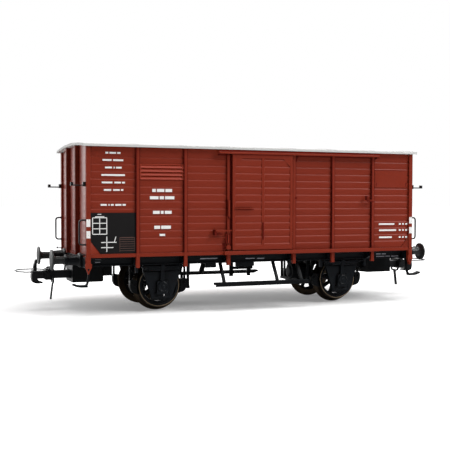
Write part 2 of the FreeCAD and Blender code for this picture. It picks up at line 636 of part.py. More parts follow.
def make_cylinder():
    """Brake cylinder with its cover, on two feet under the floor."""
    y, z, r = CYLINDER_Y, CYLINDER_Z, CYLINDER_R
    x0, x1 = CYLINDER_X0, CYLINDER_X1
    pieces = [rod((x0, y, z), (x1, y, z), r), rod((x0 - COVER_T, y, z), (x0, y, z), r - COVER_T)]
    for x in (x0 + 1, x1 - 1):
        pieces.append(box(x - 0.5, x + 0.5, y - 1, y + 1, z, FLOOR_Z))
    return fuse(pieces)


def make_lugs():
    """Blocks under the left sole bar."""
    y = -SOLE_Y + SOLE_T
    return [box(x0, x1, y - LUG_Y, y, z, SOLE_BOTTOM) for x0, x1, z in LUGS]


# ---------------------------------------------------------------- ends
def make_buffer(s):
    """Buffer: housing with its foot plate and collar, and plunger with its head."""
    y = s * BUFFER_Y
    axis = (1, 0, 0)
    foot = box(HX, HX + 0.5, y - 1.8, y + 1.8, HEAD_BOTTOM, HEAD_BOTTOM + 3.2)
    sleeve = turned_ring([(0, 0), (1.75, 0), (1.55, BUFFER_SLEEVE), (0, BUFFER_SLEEVE)], (HX, y, BUFFER_Z), axis)
    end = BUFFER_X - HX
    head = turned_ring([(0, BUFFER_SLEEVE), (1.0, BUFFER_SLEEVE), (1.0, end - 0.6), (BUFFER_R, end - 0.6),
                        (BUFFER_R, end), (0, end)], (HX, y, BUFFER_Z), axis)
    return fuse([foot, sleeve]), head


def make_draw_hook():
    """Moulded draw hook on its plate, in the middle of the headstock."""
    plate = box(HX, HX + 0.35, -1.5, 1.5, HEAD_BOTTOM + 0.2, WALL_BOTTOM - 0.3)
    xz = [(0.2, 12.5), (1.9, 12.3), (2.5, 12.7), (2.6, 13.6), (2.2, 13.8), (2.0, 13.2), (1.5, 13.1), (0.2, 13.2)]
    return fuse([plate, side_prism([(HX + x, z) for x, z in xz], -0.35, 0.35)])


def make_handrail(s):
    """Grab rail on the end face of a corner post, bent to a U."""
    y, z0, z1, out, r = s * IRON_Y, 17.2, 23.7, HX + 2.5, HANDRAIL_R
    bend = 2 * r
    xz = [(HX, z0), (out - bend, z0), (out, z0 + bend), (out, z1 - bend), (out - bend, z1), (HX, z1),
          (HX, z1 - 2 * r), (out - 2 * r, z1 - 2 * r), (out - 2 * r, z0 + 2 * r), (HX, z0 + 2 * r)]
    return side_prism(xz, y - r, y + r)


def make_lamp_iron(s):
    """Lamp iron: a thin arm that turns up at its tip, on a foot block."""
    y, z = s * IRON_Y, 31.6
    return fuse([box(HX, HX + 3.6, y - 0.2, y + 0.2, z, z + 0.3),
                 box(HX + 2.9, HX + 3.6, y - 0.3, y + 0.3, z, z + 0.85),
                 box(HX, HX + 0.65, y - 0.35, y + 0.35, z - 0.15, z + 0.95)])


def make_rope_hook(s):
    """Short pin low on the corner post, turned up at its tip."""
    y, z = s * IRON_Y, 14.9
    return fuse([box(HX, HX + 1.35, y - 0.15, y + 0.15, z, z + 0.3),
                 box(HX + 1.05, HX + 1.35, y - 0.15, y + 0.15, z, z + 0.6)])


def make_step(s):
    """Shunter's step under the corner: a tread that rises to its tip, on an upright hanger."""
    back, bend, tip = HX - 0.4, HX + STEP_REACH / 2, HX + STEP_REACH
    tread = side_prism([(back, STEP_Z), (bend, STEP_Z), (tip, STEP_Z + STEP_T / 2), (tip, STEP_Z + STEP_T),
                        (back, STEP_Z + STEP_T)], s * (INNER_Y - STEP_HALF), s * (INNER_Y + STEP_HALF))
    hanger = box(back - 0.1, back - 0.1 + STEP_HANGER_W, s * (INNER_Y - 0.7), s * (INNER_Y - 0.05),
                 STEP_Z + 0.1, HEAD_BOTTOM)
    return fuse([tread, hanger])


def make_footboard():
    """Footboard under the door, on slanted straps from the sole bar."""
    y_in, y_out = -SOLE_Y - 2.7, -SOLE_Y - 4.7
    z, top = FOOTBOARD_Z, FOOTBOARD_Z + FOOTBOARD_T
    board = box(-FOOTBOARD_HALF, FOOTBOARD_HALF, y_in, y_out, z, top)
    edge = box(-FOOTBOARD_HALF, FOOTBOARD_HALF, y_out, y_out + 0.35, z - FOOTBOARD_EDGE, top)
    yz = [(-SOLE_Y + 0.1, SOLE_BOTTOM), (y_in + 0.2, z + 0.3), (y_in - 0.3, z + 0.3), (-SOLE_Y - 0.4, SOLE_BOTTOM)]
    straps = [end_prism(yz, x - STRAP_W / 2, x + STRAP_W / 2) for x in STRAP_XS]
    return fuse([board, edge] + straps)


# ---------------------------------------------------------------- couplers
def make_pocket():
    """Coupler pocket under the floor: the shaft swings in it on an upright pin."""
    reach = POCKET_X1 - COUPLER_PIVOT_X
    slot = SHAFT_HALF + reach * math.tan(math.radians(COUPLER_SWING)) + 0.45
    nose, bend, half = POCKET_NOSE_HALF, POCKET_X0 + 0.9, POCKET_HALF
    case = plan_prism([(POCKET_X0, -nose), (bend, -half), (POCKET_X1, -half), (POCKET_X1, half), (bend, half),
                       (POCKET_X0, nose)], POCKET_Z0, HEAD_BOTTOM)
    neck = box(bend, INNER_X - 0.3, -3.0, 3.0, HEAD_BOTTOM - 0.1, FLOOR_Z)
    tail = box(POCKET_X0 - POCKET_TAIL, POCKET_X0 + 0.3, -nose, nose, TAIL_Z0, FLOOR_Z)
    hollow = box(POCKET_X0 + 0.5, POCKET_X1 + 1, -slot, slot, SHAFT_Z0 - 0.1, SHAFT_Z1 + 0.1)
    pin = rod((COUPLER_PIVOT_X, 0, SHAFT_Z0 - 0.2), (COUPLER_PIVOT_X, 0, SHAFT_Z1 + 0.2), COUPLER_PIN_R)
    return fuse([fuse([case, neck, tail]).cut(hollow), pin])


def make_shaft():
    """Coupler shaft, with the curved front plate and the pin that the loop turns on."""
    a = LOOP_PIVOT_X
    bar = box(COUPLER_PIVOT_X - SHAFT_TAIL, a + 3.8, -SHAFT_HALF, SHAFT_HALF, SHAFT_Z0, SHAFT_Z1)
    block = box(a - 0.7, a + 1.5, -BLOCK_HALF, BLOCK_HALF, BLOCK_Z0, LOOP_PIVOT_Z + 0.5)
    top, foot = PLATE_TOP_Z, PLATE_FOOT_Z
    outer = [(a + 1.8, foot + 0.1), (a + 3.5, foot), (a + 4.6, foot + 0.6), (a + 4.7, foot + 2.0),
             (a + 4.2, foot + 3.7), (a + 3.4, top)]
    inner = [(a + 3.0, top), (a + 3.3, foot + 3.7), (a + 3.4, foot + 1.4), (a + 2.9, foot + 0.7),
             (a + 1.8, foot + 0.45)]
    front = end_prism([(-PLATE_FOOT_HALF, foot - 1), (PLATE_FOOT_HALF, foot - 1), (PLATE_FOOT_HALF, foot + 2.0),
                       (PLATE_TOP_HALF, top), (-PLATE_TOP_HALF, top), (-PLATE_FOOT_HALF, foot + 2.0)],
                      a, LOOP_REACH)
    plate = side_prism(outer + inner, -PLATE_FOOT_HALF, PLATE_FOOT_HALF).common(front)
    pin_end = EYE_Y1 + 0.3
    pin = rod((a, -pin_end, LOOP_PIVOT_Z), (a, pin_end, LOOP_PIVOT_Z), LOOP_PIN_R)
    shaft = fuse([bar, block, plate, pin])
    hole = rod((COUPLER_PIVOT_X, 0, SHAFT_Z0 - 1), (COUPLER_PIVOT_X, 0, SHAFT_Z1 + 1), COUPLER_PIN_R + RUN)
    return shaft.cut(hole)


def make_loop():
    """Lifting loop: a bow in front of the plate, eyes on the pin and a trip leg below."""
    a, b, w = LOOP_PIVOT_X, LOOP_REACH, LOOP_HALF
    outside = [(a + 0.5, 2.5), (a + 3.2, w), (b - 1.6, w), (b, w - 2.4)]
    inside = [(b - 0.6, w - 2.7), (b - 1.9, w - 0.6), (a + 3.4, w - 0.6), (a + 0.9, 1.95)]
    ring = outside + [(x, -y) for x, y in outside[::-1]]
    ring += [(a + 0.5, -1.6)] + [(x, -y) for x, y in inside[::-1]] + inside + [(a + 0.5, 1.6)]
    pieces = [plan_prism(ring, LOOP_PIVOT_Z - LOOP_T / 2, LOOP_PIVOT_Z + LOOP_T / 2)]
    foot = a - 1.1
    for s in (-1, 1):
        xz = [(a - 0.75, LOOP_PIVOT_Z + 0.4), (a - 0.3, LOOP_PIVOT_Z + 0.75), (a + 0.3, LOOP_PIVOT_Z + 0.75),
              (a + 0.75, LOOP_PIVOT_Z + 0.4), (a + 0.75, LOOP_PIVOT_Z - 0.5), (foot + 0.8, LEG_CROSS_Z),
              (foot, LEG_CROSS_Z)]
        pieces.append(side_prism(xz, s * EYE_Y0, s * EYE_Y1))
    pieces.append(box(foot, foot + 0.8, -EYE_Y1, EYE_Y1, LEG_CROSS_Z, LEG_CROSS_Z + 0.6))
    pieces.append(side_prism([(foot, LEG_CROSS_Z + 0.3), (foot + 0.8, LEG_CROSS_Z + 0.3),
                              (foot + 1.3, LEG_TIP_Z), (foot + 0.7, LEG_TIP_Z)], -0.5, 0.5))
    pin = rod((a, -LOOP_HALF, LOOP_PIVOT_Z), (a, LOOP_HALF, LOOP_PIVOT_Z), LOOP_PIN_R + RUN)
    return fuse(pieces).cut(pin)


# ---------------------------------------------------------------- all nodes
wall = make_side_wall()
door = make_door()
end_wall = make_end_wall()
guards_front, guards_rear = guard_pair(make_guard)
boxes_front, boxes_rear = guard_pair(make_axle_box)
springs_front, springs_rear = guard_pair(make_spring)
shoes_front = make_shoes(-1) + make_shoes(1)
buffers = [make_buffer(s) for s in (-1, 1)]
shaft = make_shaft()
loop = make_loop()

NODES = {
    "roof": [make_roof()],
    "side_wall_left": [wall],
    "side_wall_right": [half_turn(wall)],
    "side_posts": both_ways([make_side_post(x) for x in ALL_POST_XS]),
    "corner_posts": both_ways([make_corner_post(s) for s in (-1, 1)]),
    "side_sills": both_ways([make_side_sill()]),
    "end_wall_rear": [end_wall],
    "end_wall_front": [half_turn(end_wall)],
    "end_posts": both_ways([make_end_post(y) for y in (-END_POST_Y, END_POST_Y)]),
    "end_sills": both_ways([make_end_sill()]),
    "vent_louvres": both_ways([make_louvre()]),
    "vent_flaps": both_ways([make_flap()]),
    "marking_boards": both_ways([make_board()]),
    "door_left": [door],
    "door_right": [half_turn(door)],
    "door_rails_upper": both_ways([make_rail_upper()]),
    "door_rails_lower": both_ways([make_rail_lower()]),
    "door_latches": both_ways(make_latches()),
    "door_catches": both_ways([make_catch()]),
    "chassis_floor": [box(-INNER_X, INNER_X, -INNER_Y, INNER_Y, FLOOR_Z, FLOOR_Z + FLOOR_T)],
    "ballast_plate": [box(-INNER_X + BALLAST_MARGIN_X, INNER_X - BALLAST_MARGIN_X, -INNER_Y + BALLAST_MARGIN_Y,
                          INNER_Y - BALLAST_MARGIN_Y, FLOOR_Z + FLOOR_T, LOAD_FLOOR_TOP - LOAD_FLOOR_T)],
    "load_floor": [box(-INNER_X, INNER_X, -INNER_Y, INNER_Y, LOAD_FLOOR_TOP - LOAD_FLOOR_T, LOAD_FLOOR_TOP)],
    "sole_bars": [make_sole_bar(-1), make_sole_bar(1)],
    "headstocks": both_ways([box(INNER_X, HX, -INNER_Y, INNER_Y, HEAD_BOTTOM, WALL_BOTTOM)]),
    "cross_bearers": make_bearers(),
    "post_brackets": make_brackets(),
    "sole_bar_lugs": both_ways(make_lugs()),
    "axle_guards_front": guards_front,
    "axle_guards_rear": guards_rear,
    "axle_boxes_front": boxes_front,
    "axle_boxes_rear": boxes_rear,
    "leaf_springs_front": springs_front,
    "leaf_springs_rear": springs_rear,
    "spring_shackles": both_ways([make_shackle(s, m) for s in (-1, 1) for m in (-1, 1)]),
    "brake_shoes_front": shoes_front,
    "brake_shoes_rear": [half_turn(p) for p in shoes_front],
    "brake_rigging": make_rigging(),
    "brake_cylinder": [make_cylinder()],
    "buffer_housings": both_ways([housing for housing, head in buffers]),
    "buffer_heads": both_ways([head for housing, head in buffers]),
    "draw_hooks": both_ways([make_draw_hook()]),
    "end_handrails": both_ways([make_handrail(s) for s in (-1, 1)]),
    "lamp_irons": both_ways([make_lamp_iron(s) for s in (-1, 1)]),
    "rope_hooks": both_ways([make_rope_hook(s) for s in (-1, 1)]),
    "corner_steps": both_ways([make_step(s) for s in (-1, 1)]),
    "footboards": both_ways([make_footboard()]),
    "coupler_boxes": both_ways([make_pocket()]),
    "coupler_shaft_rear": [shaft],
    "coupler_shaft_front": [half_turn(shaft)],
    "coupler_loop_rear": [loop],
    "coupler_loop_front": [half_turn(loop)],
}
for end, x in (("front", -AXLE_X), ("rear", AXLE_X)):
    NODES["axle_" + end] = [make_axle(x)]
    NODES["wheel_centres_" + end] = [make_centre(x, -1), make_centre(x, 1)]
    NODES["tyres_" + end] = [make_tyre(x, -1), make_tyre(x, 1)]

for name, shapes in NODES.items():
    solids = [solid for shape in shapes for solid in shape.Solids]
    for solid in solids:
        if not solid.isValid() or solid.Volume <= 0:
            raise ValueError("bad solid in " + name)
    whole = solids[0] if len(solids) == 1 else Part.makeCompound(solids)
    whole.exportStep("parts/%s.step" % name)
    print("%-22s %2d solids %9.2f mm3" % (name, len(solids), sum(s.Volume for s in solids)))
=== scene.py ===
"""Looks of an H0 model of a two-axle covered goods wagon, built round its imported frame.

Lengths in the making functions are in millimetres; each piece is scaled to metres as it is placed.
The front of the wagon is its -X end and its left side is the -Y side.  The wagon is the same after
half a turn about Z, so most shapes are worked out once and turned round.
"""
import json
import math

import bmesh
import bpy
import numpy as np
from bpy.props import FloatProperty, FloatVectorProperty, PointerProperty
from mathutils import Matrix, Vector


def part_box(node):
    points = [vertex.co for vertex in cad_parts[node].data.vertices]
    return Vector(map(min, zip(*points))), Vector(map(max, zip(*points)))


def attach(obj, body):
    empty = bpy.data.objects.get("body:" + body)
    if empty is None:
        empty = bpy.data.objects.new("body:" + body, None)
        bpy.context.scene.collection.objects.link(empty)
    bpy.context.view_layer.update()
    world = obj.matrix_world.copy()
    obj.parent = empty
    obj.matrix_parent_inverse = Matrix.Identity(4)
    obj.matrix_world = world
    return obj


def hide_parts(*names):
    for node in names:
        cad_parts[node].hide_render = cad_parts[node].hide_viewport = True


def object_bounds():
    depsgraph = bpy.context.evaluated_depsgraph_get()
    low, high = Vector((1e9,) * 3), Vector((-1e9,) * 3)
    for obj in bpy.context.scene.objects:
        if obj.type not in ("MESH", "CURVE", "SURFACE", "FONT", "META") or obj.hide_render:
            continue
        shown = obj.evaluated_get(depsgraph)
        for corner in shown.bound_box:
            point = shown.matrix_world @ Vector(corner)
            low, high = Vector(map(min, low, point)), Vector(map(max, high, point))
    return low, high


bl_info = {
    "name": "Covered Goods Wagon",
    "version": (1, 0, 0),
    "blender": (4, 5, 0),
    "location": "3D View > Sidebar > Wagon",
    "description": "Builds an H0 covered goods wagon and its studio",
    "category": "Add Mesh",
}

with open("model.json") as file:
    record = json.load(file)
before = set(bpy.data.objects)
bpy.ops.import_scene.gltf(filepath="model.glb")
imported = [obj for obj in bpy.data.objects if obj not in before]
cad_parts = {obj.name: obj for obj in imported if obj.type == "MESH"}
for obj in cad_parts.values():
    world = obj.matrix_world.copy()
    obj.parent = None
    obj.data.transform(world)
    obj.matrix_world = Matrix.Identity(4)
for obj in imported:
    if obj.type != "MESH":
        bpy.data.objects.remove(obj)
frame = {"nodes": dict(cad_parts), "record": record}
CAD_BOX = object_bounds()
MM = 0.001
NODES = frame["nodes"]
WAGON = "wagon"


# ---------------------------------------------------------------- reading the frame
def cad(node):
    """Lowest and highest corner of a CAD node, in millimetres."""
    low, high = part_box(node)
    return np.array(low) / MM, np.array(high) / MM


def cad_mesh(node):
    """Distinct corners of a CAD node in millimetres, and its triangles."""
    mesh = NODES[node].data
    mesh.calc_loop_triangles()
    points = np.empty(len(mesh.vertices) * 3)
    mesh.vertices.foreach_get("co", points)
    triangles = np.empty(len(mesh.loop_triangles) * 3, int)
    mesh.loop_triangles.foreach_get("vertices", triangles)
    keys = np.round(points.reshape(-1, 3) / MM * 1e4).astype(int)
    distinct, same = np.unique(keys, axis=0, return_inverse=True)
    return distinct / 1e4, same.ravel()[triangles].reshape(-1, 3)


def solids(node):
    """Boxes of the separate solids of a CAD node, as an array of (low, high) corners.

    Corners that share a triangle take the lowest label among them, over and over, until
    each solid has one label."""
    points, triangles = cad_mesh(node)
    label = np.arange(len(points))
    while True:
        spread = label.copy()
        np.minimum.at(spread, triangles.ravel(), np.repeat(label[triangles].min(1), 3))
        if np.array_equal(spread, label):
            break
        label = spread
    return np.array([(points[label == k].min(0), points[label == k].max(0)) for k in np.unique(label)])


def left_box(node):
    """Box of a CAD node's first solid on the left side."""
    return next(pair for pair in solids(node) if pair[0][1] < 0)


def wheel_middle(end):
    """Place (x, z) of the wheels' axis at the front or rear end, in millimetres."""
    low, high = cad("tyres_" + end)
    return (low[0] + high[0]) / 2, (low[2] + high[2]) / 2


def loop_pivot():
    """Place (x, z) of the rear loop's joint, in millimetres."""
    joint = next(j for j in frame["record"]["behaviour"]["joints"] if j["name"] == "loop_rear_lift")
    return joint["pos_m"][0] / MM, joint["pos_m"][2] / MM


# ---------------------------------------------------------------- shapes: (points, faces) in millimetres
def join(*shapes):
    """Several shapes as one."""
    points, faces, start = [], [], 0
    for p, f in shapes:
        points.append(p)
        faces += [[i + start for i in face] for face in f]
        start += len(p)
    return np.concatenate(points), faces


def turned(shape, angle=180.0, axis="Z", centre=(0, 0, 0)):
    """Shape turned by an angle in degrees about an axis through a centre."""
    turn = np.array(Matrix.Rotation(math.radians(angle), 3, axis))
    return (shape[0] - centre) @ turn.T + centre, shape[1]


def both(shape):
    """Shape and its partner after half a turn about Z."""
    return join(shape, turned(shape))


def mirrored(shape, side):
    """Shape drawn at -Y, or its mirror image at +Y for side 1, with its faces turned to match."""
    if side < 0:
        return shape
    return shape[0] * (1, -1, 1), [face[::-1] for face in shape[1]]


def copies(shape, places):
    """Copies of a small shape moved to each of the places."""
    points, faces = shape
    places = np.atleast_2d(np.array(places, float))
    moved = (points[None] + places[:, None]).reshape(-1, 3)
    count = len(points)
    return moved, [[i + k * count for i in face] for k in range(len(places)) for face in faces]


def grid(points, wrap_u=False, wrap_v=False, caps=False):
    """Faces between neighbours in an array of points[u, v]; caps close both ends of u."""
    nu, nv = points.shape[:2]
    index = np.arange(nu * nv).reshape(nu, nv)
    ends = [index[0, ::-1].tolist(), index[-1].tolist()] if caps else []
    if wrap_u:
        index = np.vstack([index, index[:1]])
    if wrap_v:
        index = np.hstack([index, index[:, :1]])
    quads = np.stack([index[:-1, :-1], index[:-1, 1:], index[1:, 1:], index[1:, :-1]], -1)
    return points.reshape(-1, 3), quads.reshape(-1, 4).tolist() + ends


def fillet(corners, radius, steps=4, closed=True):
    """Line with rounded corners: near a corner C it is (1-t)^2 A + 2t(1-t) C + t^2 B.

    A and B lie on the two sides, `radius` from C or half way along a shorter side."""
    corners = np.array(corners, float)
    radii = np.broadcast_to(np.array(radius, float), len(corners))
    before, after = np.roll(corners, 1, 0), np.roll(corners, -1, 0)
    t = np.linspace(0, 1, steps + 1)[:, None]
    line = []
    for i, (p, c, n) in enumerate(zip(before, corners, after)):
        if radii[i] <= 0 or (not closed and i in (0, len(corners) - 1)):
            line.append(c[None])
            continue
        reach = [min(radii[i] / np.linalg.norm(q - c), 0.5) for q in (p, n)]
        a, b = c + (p - c) * reach[0], c + (n - c) * reach[1]
        line.append((1 - t) ** 2 * a + 2 * t * (1 - t) * c + t ** 2 * b)
    return np.concatenate(line)


def circle(radius, steps=16):
    """Section r (cos a, sin a) for a sweep."""
    angle = np.arange(steps) * 2 * math.pi / steps
    return np.stack([radius * np.cos(angle), radius * np.sin(angle)], -1)


def rectangle(width, height):
    """Rectangle round the origin, as a section for a sweep."""
    w, h = width / 2, height / 2
    return np.array([(-w, -h), (w, -h), (w, h), (-w, h)])


def sweep(section, path, up=(0, 0, 1), closed=False, scale=None):
    """Section of (side, up) places carried along a path.

    At each point of the path, side is the path's direction crossed with up, and the
    section's place is point + side * s + (side x direction) * u."""
    path = np.array(path, float)
    if closed:
        ahead = np.roll(path, -1, 0) - np.roll(path, 1, 0)
    else:
        ahead = np.gradient(path, axis=0)
    ahead /= np.linalg.norm(ahead, axis=1)[:, None]
    side = np.cross(ahead, np.array(up, float))
    side /= np.linalg.norm(side, axis=1)[:, None]
    top = np.cross(side, ahead)
    size = np.ones(len(path)) if scale is None else np.array(scale, float)
    s, u = (np.array(section)[None, :, k, None] * size[:, None, None] for k in (0, 1))
    return grid(path[:, None] + side[:, None] * s + top[:, None] * u, closed, True, not closed)


def prism(outline, start, end, axis="y"):
    """Flat outline pushed along an axis: (x, z) along y, (y, z) along x or (x, y) along z."""
    outline = np.array(outline, float)
    k = "xyz".index(axis)
    ends = [np.insert(outline, k, level, axis=1) for level in (start, end)]
    return grid(np.stack(ends), False, True, True)


def rounded(x0, x1, z0, z1, radius, start, end, axis="y", steps=3):
    """Rectangle with rounded corners pushed along an axis."""
    return prism(fillet([(x0, z0), (x1, z0), (x1, z1), (x0, z1)], radius, steps), start, end, axis)


def plate(front, back, solid=None):
    """Plate between two grids of points[u, v] of one layout.

    Cells where solid is False stay open, and every edge with a cell on one side only is closed
    from the front grid to the back one."""
    nu, nv = front.shape[:2]
    solid = np.ones((nu - 1, nv - 1), bool) if solid is None else solid
    index = np.arange(nu * nv).reshape(nu, nv)
    cells = np.stack([index[:-1, :-1], index[1:, :-1], index[1:, 1:], index[:-1, 1:]], -1)[solid]
    across, along = np.pad(solid, ((1, 1), (0, 0))), np.pad(solid, ((0, 0), (1, 1)))
    i, j = np.nonzero(across[1:] != across[:-1])
    k, m = np.nonzero(along[:, 1:] != along[:, :-1])
    a = np.concatenate([index[i, j], index[k, m]])
    b = np.concatenate([index[i, j + 1], index[k + 1, m]])
    rims = np.stack([a, b, b + nu * nv, a + nu * nv], -1)
    faces = np.concatenate([cells, cells[:, ::-1] + nu * nv, rims]).tolist()
    return np.concatenate([front.reshape(-1, 3), back.reshape(-1, 3)]), faces


def block(low, high):
    """Box between two corners."""
    (x0, y0, z0), (x1, y1, z1) = low, high
    return prism([(x0, z0), (x1, z0), (x1, z1), (x0, z1)], y0, y1)


def lathe(profile, centre, axis, steps=48):
    """Profile of (radius, distance along the axis) turned about an axis through the centre.

    A point is centre + axis * d + (p cos a + q sin a) * r, with p and q square to the axis."""
    profile = np.array(profile, float)
    axis = np.array(axis, float)
    p = np.cross(axis, (0, 0, 1) if abs(axis[2]) < 0.9 else (1, 0, 0))
    p /= np.linalg.norm(p)
    q = np.cross(axis, p)
    angle = np.arange(steps) * 2 * math.pi / steps
    around = np.cos(angle)[:, None, None] * p + np.sin(angle)[:, None, None] * q
    points = np.array(centre, float) + profile[None, :, 1, None] * axis + profile[None, :, 0, None] * around
    closed = not (profile[0, 0] == 0 and profile[-1, 0] == 0)
    return grid(points, True, closed)


def rivets(places, towards, radius, height=None, steps=8):
    """Domed rivet heads: each is a half dome on a short rim, sunk a little into its plate."""
    height = height or radius * 0.6
    t = np.linspace(0, math.pi / 2, 4)
    dome = np.stack([radius * np.cos(t), height * np.sin(t)], -1)
    dome[-1, 0] = 0
    return copies(lathe([(0, -height), (radius, -height), *dome], (0, 0, 0), towards, steps), places)


# ---------------------------------------------------------------- placing pieces
def put(name, mesh, body, finish, nodes, bevel, angle=30.0):
    """Finished object of a mesh: merged, faces outwards, sharp edges marked, riding on its body."""
    slot, material = finish
    work = bmesh.new()
    work.from_mesh(mesh)
    bmesh.ops.remove_doubles(work, verts=work.verts, dist=1e-7)
    bmesh.ops.dissolve_degenerate(work, edges=work.edges, dist=1e-8)
    bmesh.ops.delete(work, geom=[v for v in work.verts if not v.link_faces], context="VERTS")
    bmesh.ops.recalc_face_normals(work, faces=work.faces)
    work.to_mesh(mesh)
    work.free()
    mesh.shade_smooth()
    mesh.set_sharp_from_angle(angle=math.radians(angle))
    mesh.materials.clear()
    mesh.materials.append(material)
    piece = bpy.data.objects.new(name, mesh)
    bpy.context.scene.collection.objects.link(piece)
    if bevel:
        edge = piece.modifiers.new("soft edges", "BEVEL")
        edge.width = bevel * MM
        edge.segments = 2
        edge.limit_method = "ANGLE"
        edge.angle_limit = math.radians(angle)
        edge.harden_normals = True
        edge.use_clamp_overlap = True
    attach(piece, body)
    if nodes:
        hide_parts(*nodes)
    return piece


def make(name, shape, body, finish, nodes=(), bevel=0.0):
    """New piece from a shape in millimetres."""
    points, faces = shape
    mesh = bpy.data.meshes.new(name)
    mesh.from_pydata((points * MM).tolist(), [], faces)
    return put(name, mesh, body, finish, nodes, bevel)


def softened(node, body, finish, bevel):
    """Piece that stands for a CAD node: its corners merged, its flat faces whole, its edges rounded."""
    work = bmesh.new()
    work.from_mesh(NODES[node].data)
    bmesh.ops.remove_doubles(work, verts=work.verts, dist=1e-7)
    bmesh.ops.dissolve_limit(work, angle_limit=math.radians(0.5), verts=work.verts, edges=work.edges)
    mesh = bpy.data.meshes.new(node + "_soft")
    work.to_mesh(mesh)
    work.free()
    return put(node + "_soft", mesh, body, finish, [node], bevel)


# ---------------------------------------------------------------- materials
def linear(colour):
    """sRGB hex colour as linear RGB."""
    value = np.array([int(colour[i:i + 2], 16) for i in (1, 3, 5)]) / 255
    return tuple(np.where(value <= 0.04045, value / 12.92, ((value + 0.055) / 1.055) ** 2.4).tolist())


def add(tree, kind, inputs=None, **settings):
    """Shader node with its settings, and its inputs set to values or linked to sockets."""
    node = tree.nodes.new("ShaderNode" + kind)
    for key, value in settings.items():
        setattr(node, key, value)
    for socket, value in (inputs or {}).items():
        if isinstance(value, bpy.types.NodeSocket):
            tree.links.new(value, node.inputs[socket])
        else:
            node.inputs[socket].default_value = value
    return node


def shade(colour, factor):
    """Colour made lighter or darker by a factor, with its alpha."""
    return (*[min(c * factor, 1.0) for c in colour], 1.0)


def surface(slot, name, colour, rough, grain, relief, cloud=6.0, tint=0.06, mottle=0.05, metallic=0.0,
            specular=0.25, planks=None, rings=None, corner_shade=None, inner=None):
    """Finish (slot, material): a principled surface with clouds of tint, fine grain and mottled gloss.

    grain is the size of the fine texture and relief its depth; cloud is the size of the tint's
    patches and mottle the change of roughness over them.  planks is (first joint, pitch) for boards
    that differ a little in tone; rings is (centre x, centre z, pitch, share) for the marks of
    turning on a lathe.  corner_shade is (reach, shut, clear) for painted shade in corners and gaps:
    ambient occlusion darkens the colour, fully where the open share of the view is under shut, and
    not at all over clear.  inner is (start, end, dark) for painted shade on what lies nearer the
    wagon's middle: colour times dark up to start, and full from end on."""
    material = bpy.data.materials.get(name)
    if material:
        return slot, material
    material = bpy.data.materials.new(name)
    material.use_nodes = True
    tree = material.node_tree
    tree.nodes.clear()
    place = add(tree, "TexCoord").outputs["Object"]
    clouds = add(tree, "TexNoise", {"Vector": place, "Scale": 1 / (cloud * MM), "Detail": 4.0}).outputs["Fac"]
    fine = add(tree, "TexNoise", {"Vector": place, "Scale": 1 / (grain * MM), "Detail": 3.0}).outputs["Fac"]
    tone = clouds
    if planks:
        first, pitch = planks
        up = add(tree, "SeparateXYZ", {"Vector": place}).outputs["Z"]
        course = add(tree, "Math", {0: up, 1: 1 / (pitch * MM), 2: -first / pitch},
                     operation="MULTIPLY_ADD")
        board = add(tree, "Math", {0: course.outputs[0]}, operation="FLOOR").outputs[0]
        luck = add(tree, "TexWhiteNoise", {"W": board}, noise_dimensions="1D").outputs["Value"]
        tone = add(tree, "Mix", {"Factor": 0.45, "A": clouds, "B": luck}).outputs["Result"]
    mixed = add(tree, "Mix", {"Factor": tone, "A": shade(colour, 1 - tint), "B": shade(colour, 1 + tint)},
                data_type="RGBA").outputs["Result"]
    # Painted shade: the colour darkens towards the wagon's middle, where the underframe lies in the body's
    # shadow.
    if inner:
        start, end, dark = inner
        side = add(tree, "Math", {0: add(tree, "SeparateXYZ", {"Vector": place}).outputs["Y"]},
                   operation="ABSOLUTE")
        out = add(tree, "MapRange", {"Value": side.outputs[0], "From Min": start * MM, "From Max": end * MM,
                                     "To Min": dark, "To Max": 1.0}).outputs["Result"]
        mixed = add(tree, "VectorMath", {0: mixed, 1: out}, operation="MULTIPLY").outputs["Vector"]
    # Painted shade: ambient occlusion darkens the colour in corners and gaps, where shadows fall.
    if corner_shade:
        reach, shut, clear = corner_shade
        near = add(tree, "AmbientOcclusion", {"Distance": reach * MM}, samples=8).outputs["AO"]
        deep = add(tree, "MapRange", {"Value": near, "From Min": shut, "From Max": clear, "To Min": 0.2,
                                      "To Max": 1.0}).outputs["Result"]
        mixed = add(tree, "VectorMath", {0: mixed, 1: deep}, operation="MULTIPLY").outputs["Vector"]
    gloss = add(tree, "MapRange", {"Value": clouds, "From Min": 0.3, "From Max": 0.7,
                                   "To Min": rough - mottle, "To Max": rough + mottle}).outputs["Result"]
    height = fine
    if rings:
        x, z, pitch, share = rings
        centre = add(tree, "Mapping", {"Vector": place, "Location": (-x * MM, 0, -z * MM)}).outputs["Vector"]
        waves = add(tree, "TexWave", {"Vector": centre, "Scale": 1 / (pitch * MM * 6.3), "Distortion": 0.3},
                    wave_type="RINGS", rings_direction="Y").outputs["Fac"]
        height = add(tree, "Mix", {"Factor": share, "A": fine, "B": waves}).outputs["Result"]
    bump = add(tree, "Bump", {"Height": height, "Distance": relief * MM, "Strength": 1.0})
    shader = add(tree, "BsdfPrincipled", {"Base Color": mixed, "Roughness": gloss, "Normal": bump.outputs[0],
                                          "Metallic": metallic, "Specular IOR Level": specular})
    add(tree, "OutputMaterial", {"Surface": shader.outputs[0]})
    return slot, material


def body_paint():
    """Oxide-brown paint sprayed on ABS: satin, even, with a trace of orange peel, and painted shade in
    its corners and gaps.
    """
    return surface("body_paint", "sprayed_abs_oxide_brown", colours().body, 0.42, 0.16, 0.003, tint=0.05,
                   specular=0.16, planks=(PLANK_FIRST, PLANK_PITCH), corner_shade=(0.7, 0.2, 0.72))


def end_paint():
    """The same oxide-brown paint on the end walls, glossier: it mirrors the pale room at a low angle."""
    return surface("body_paint", "sprayed_abs_oxide_brown_gloss", colours().body, 0.34, 0.16, 0.003,
                   tint=0.05, specular=0.7)


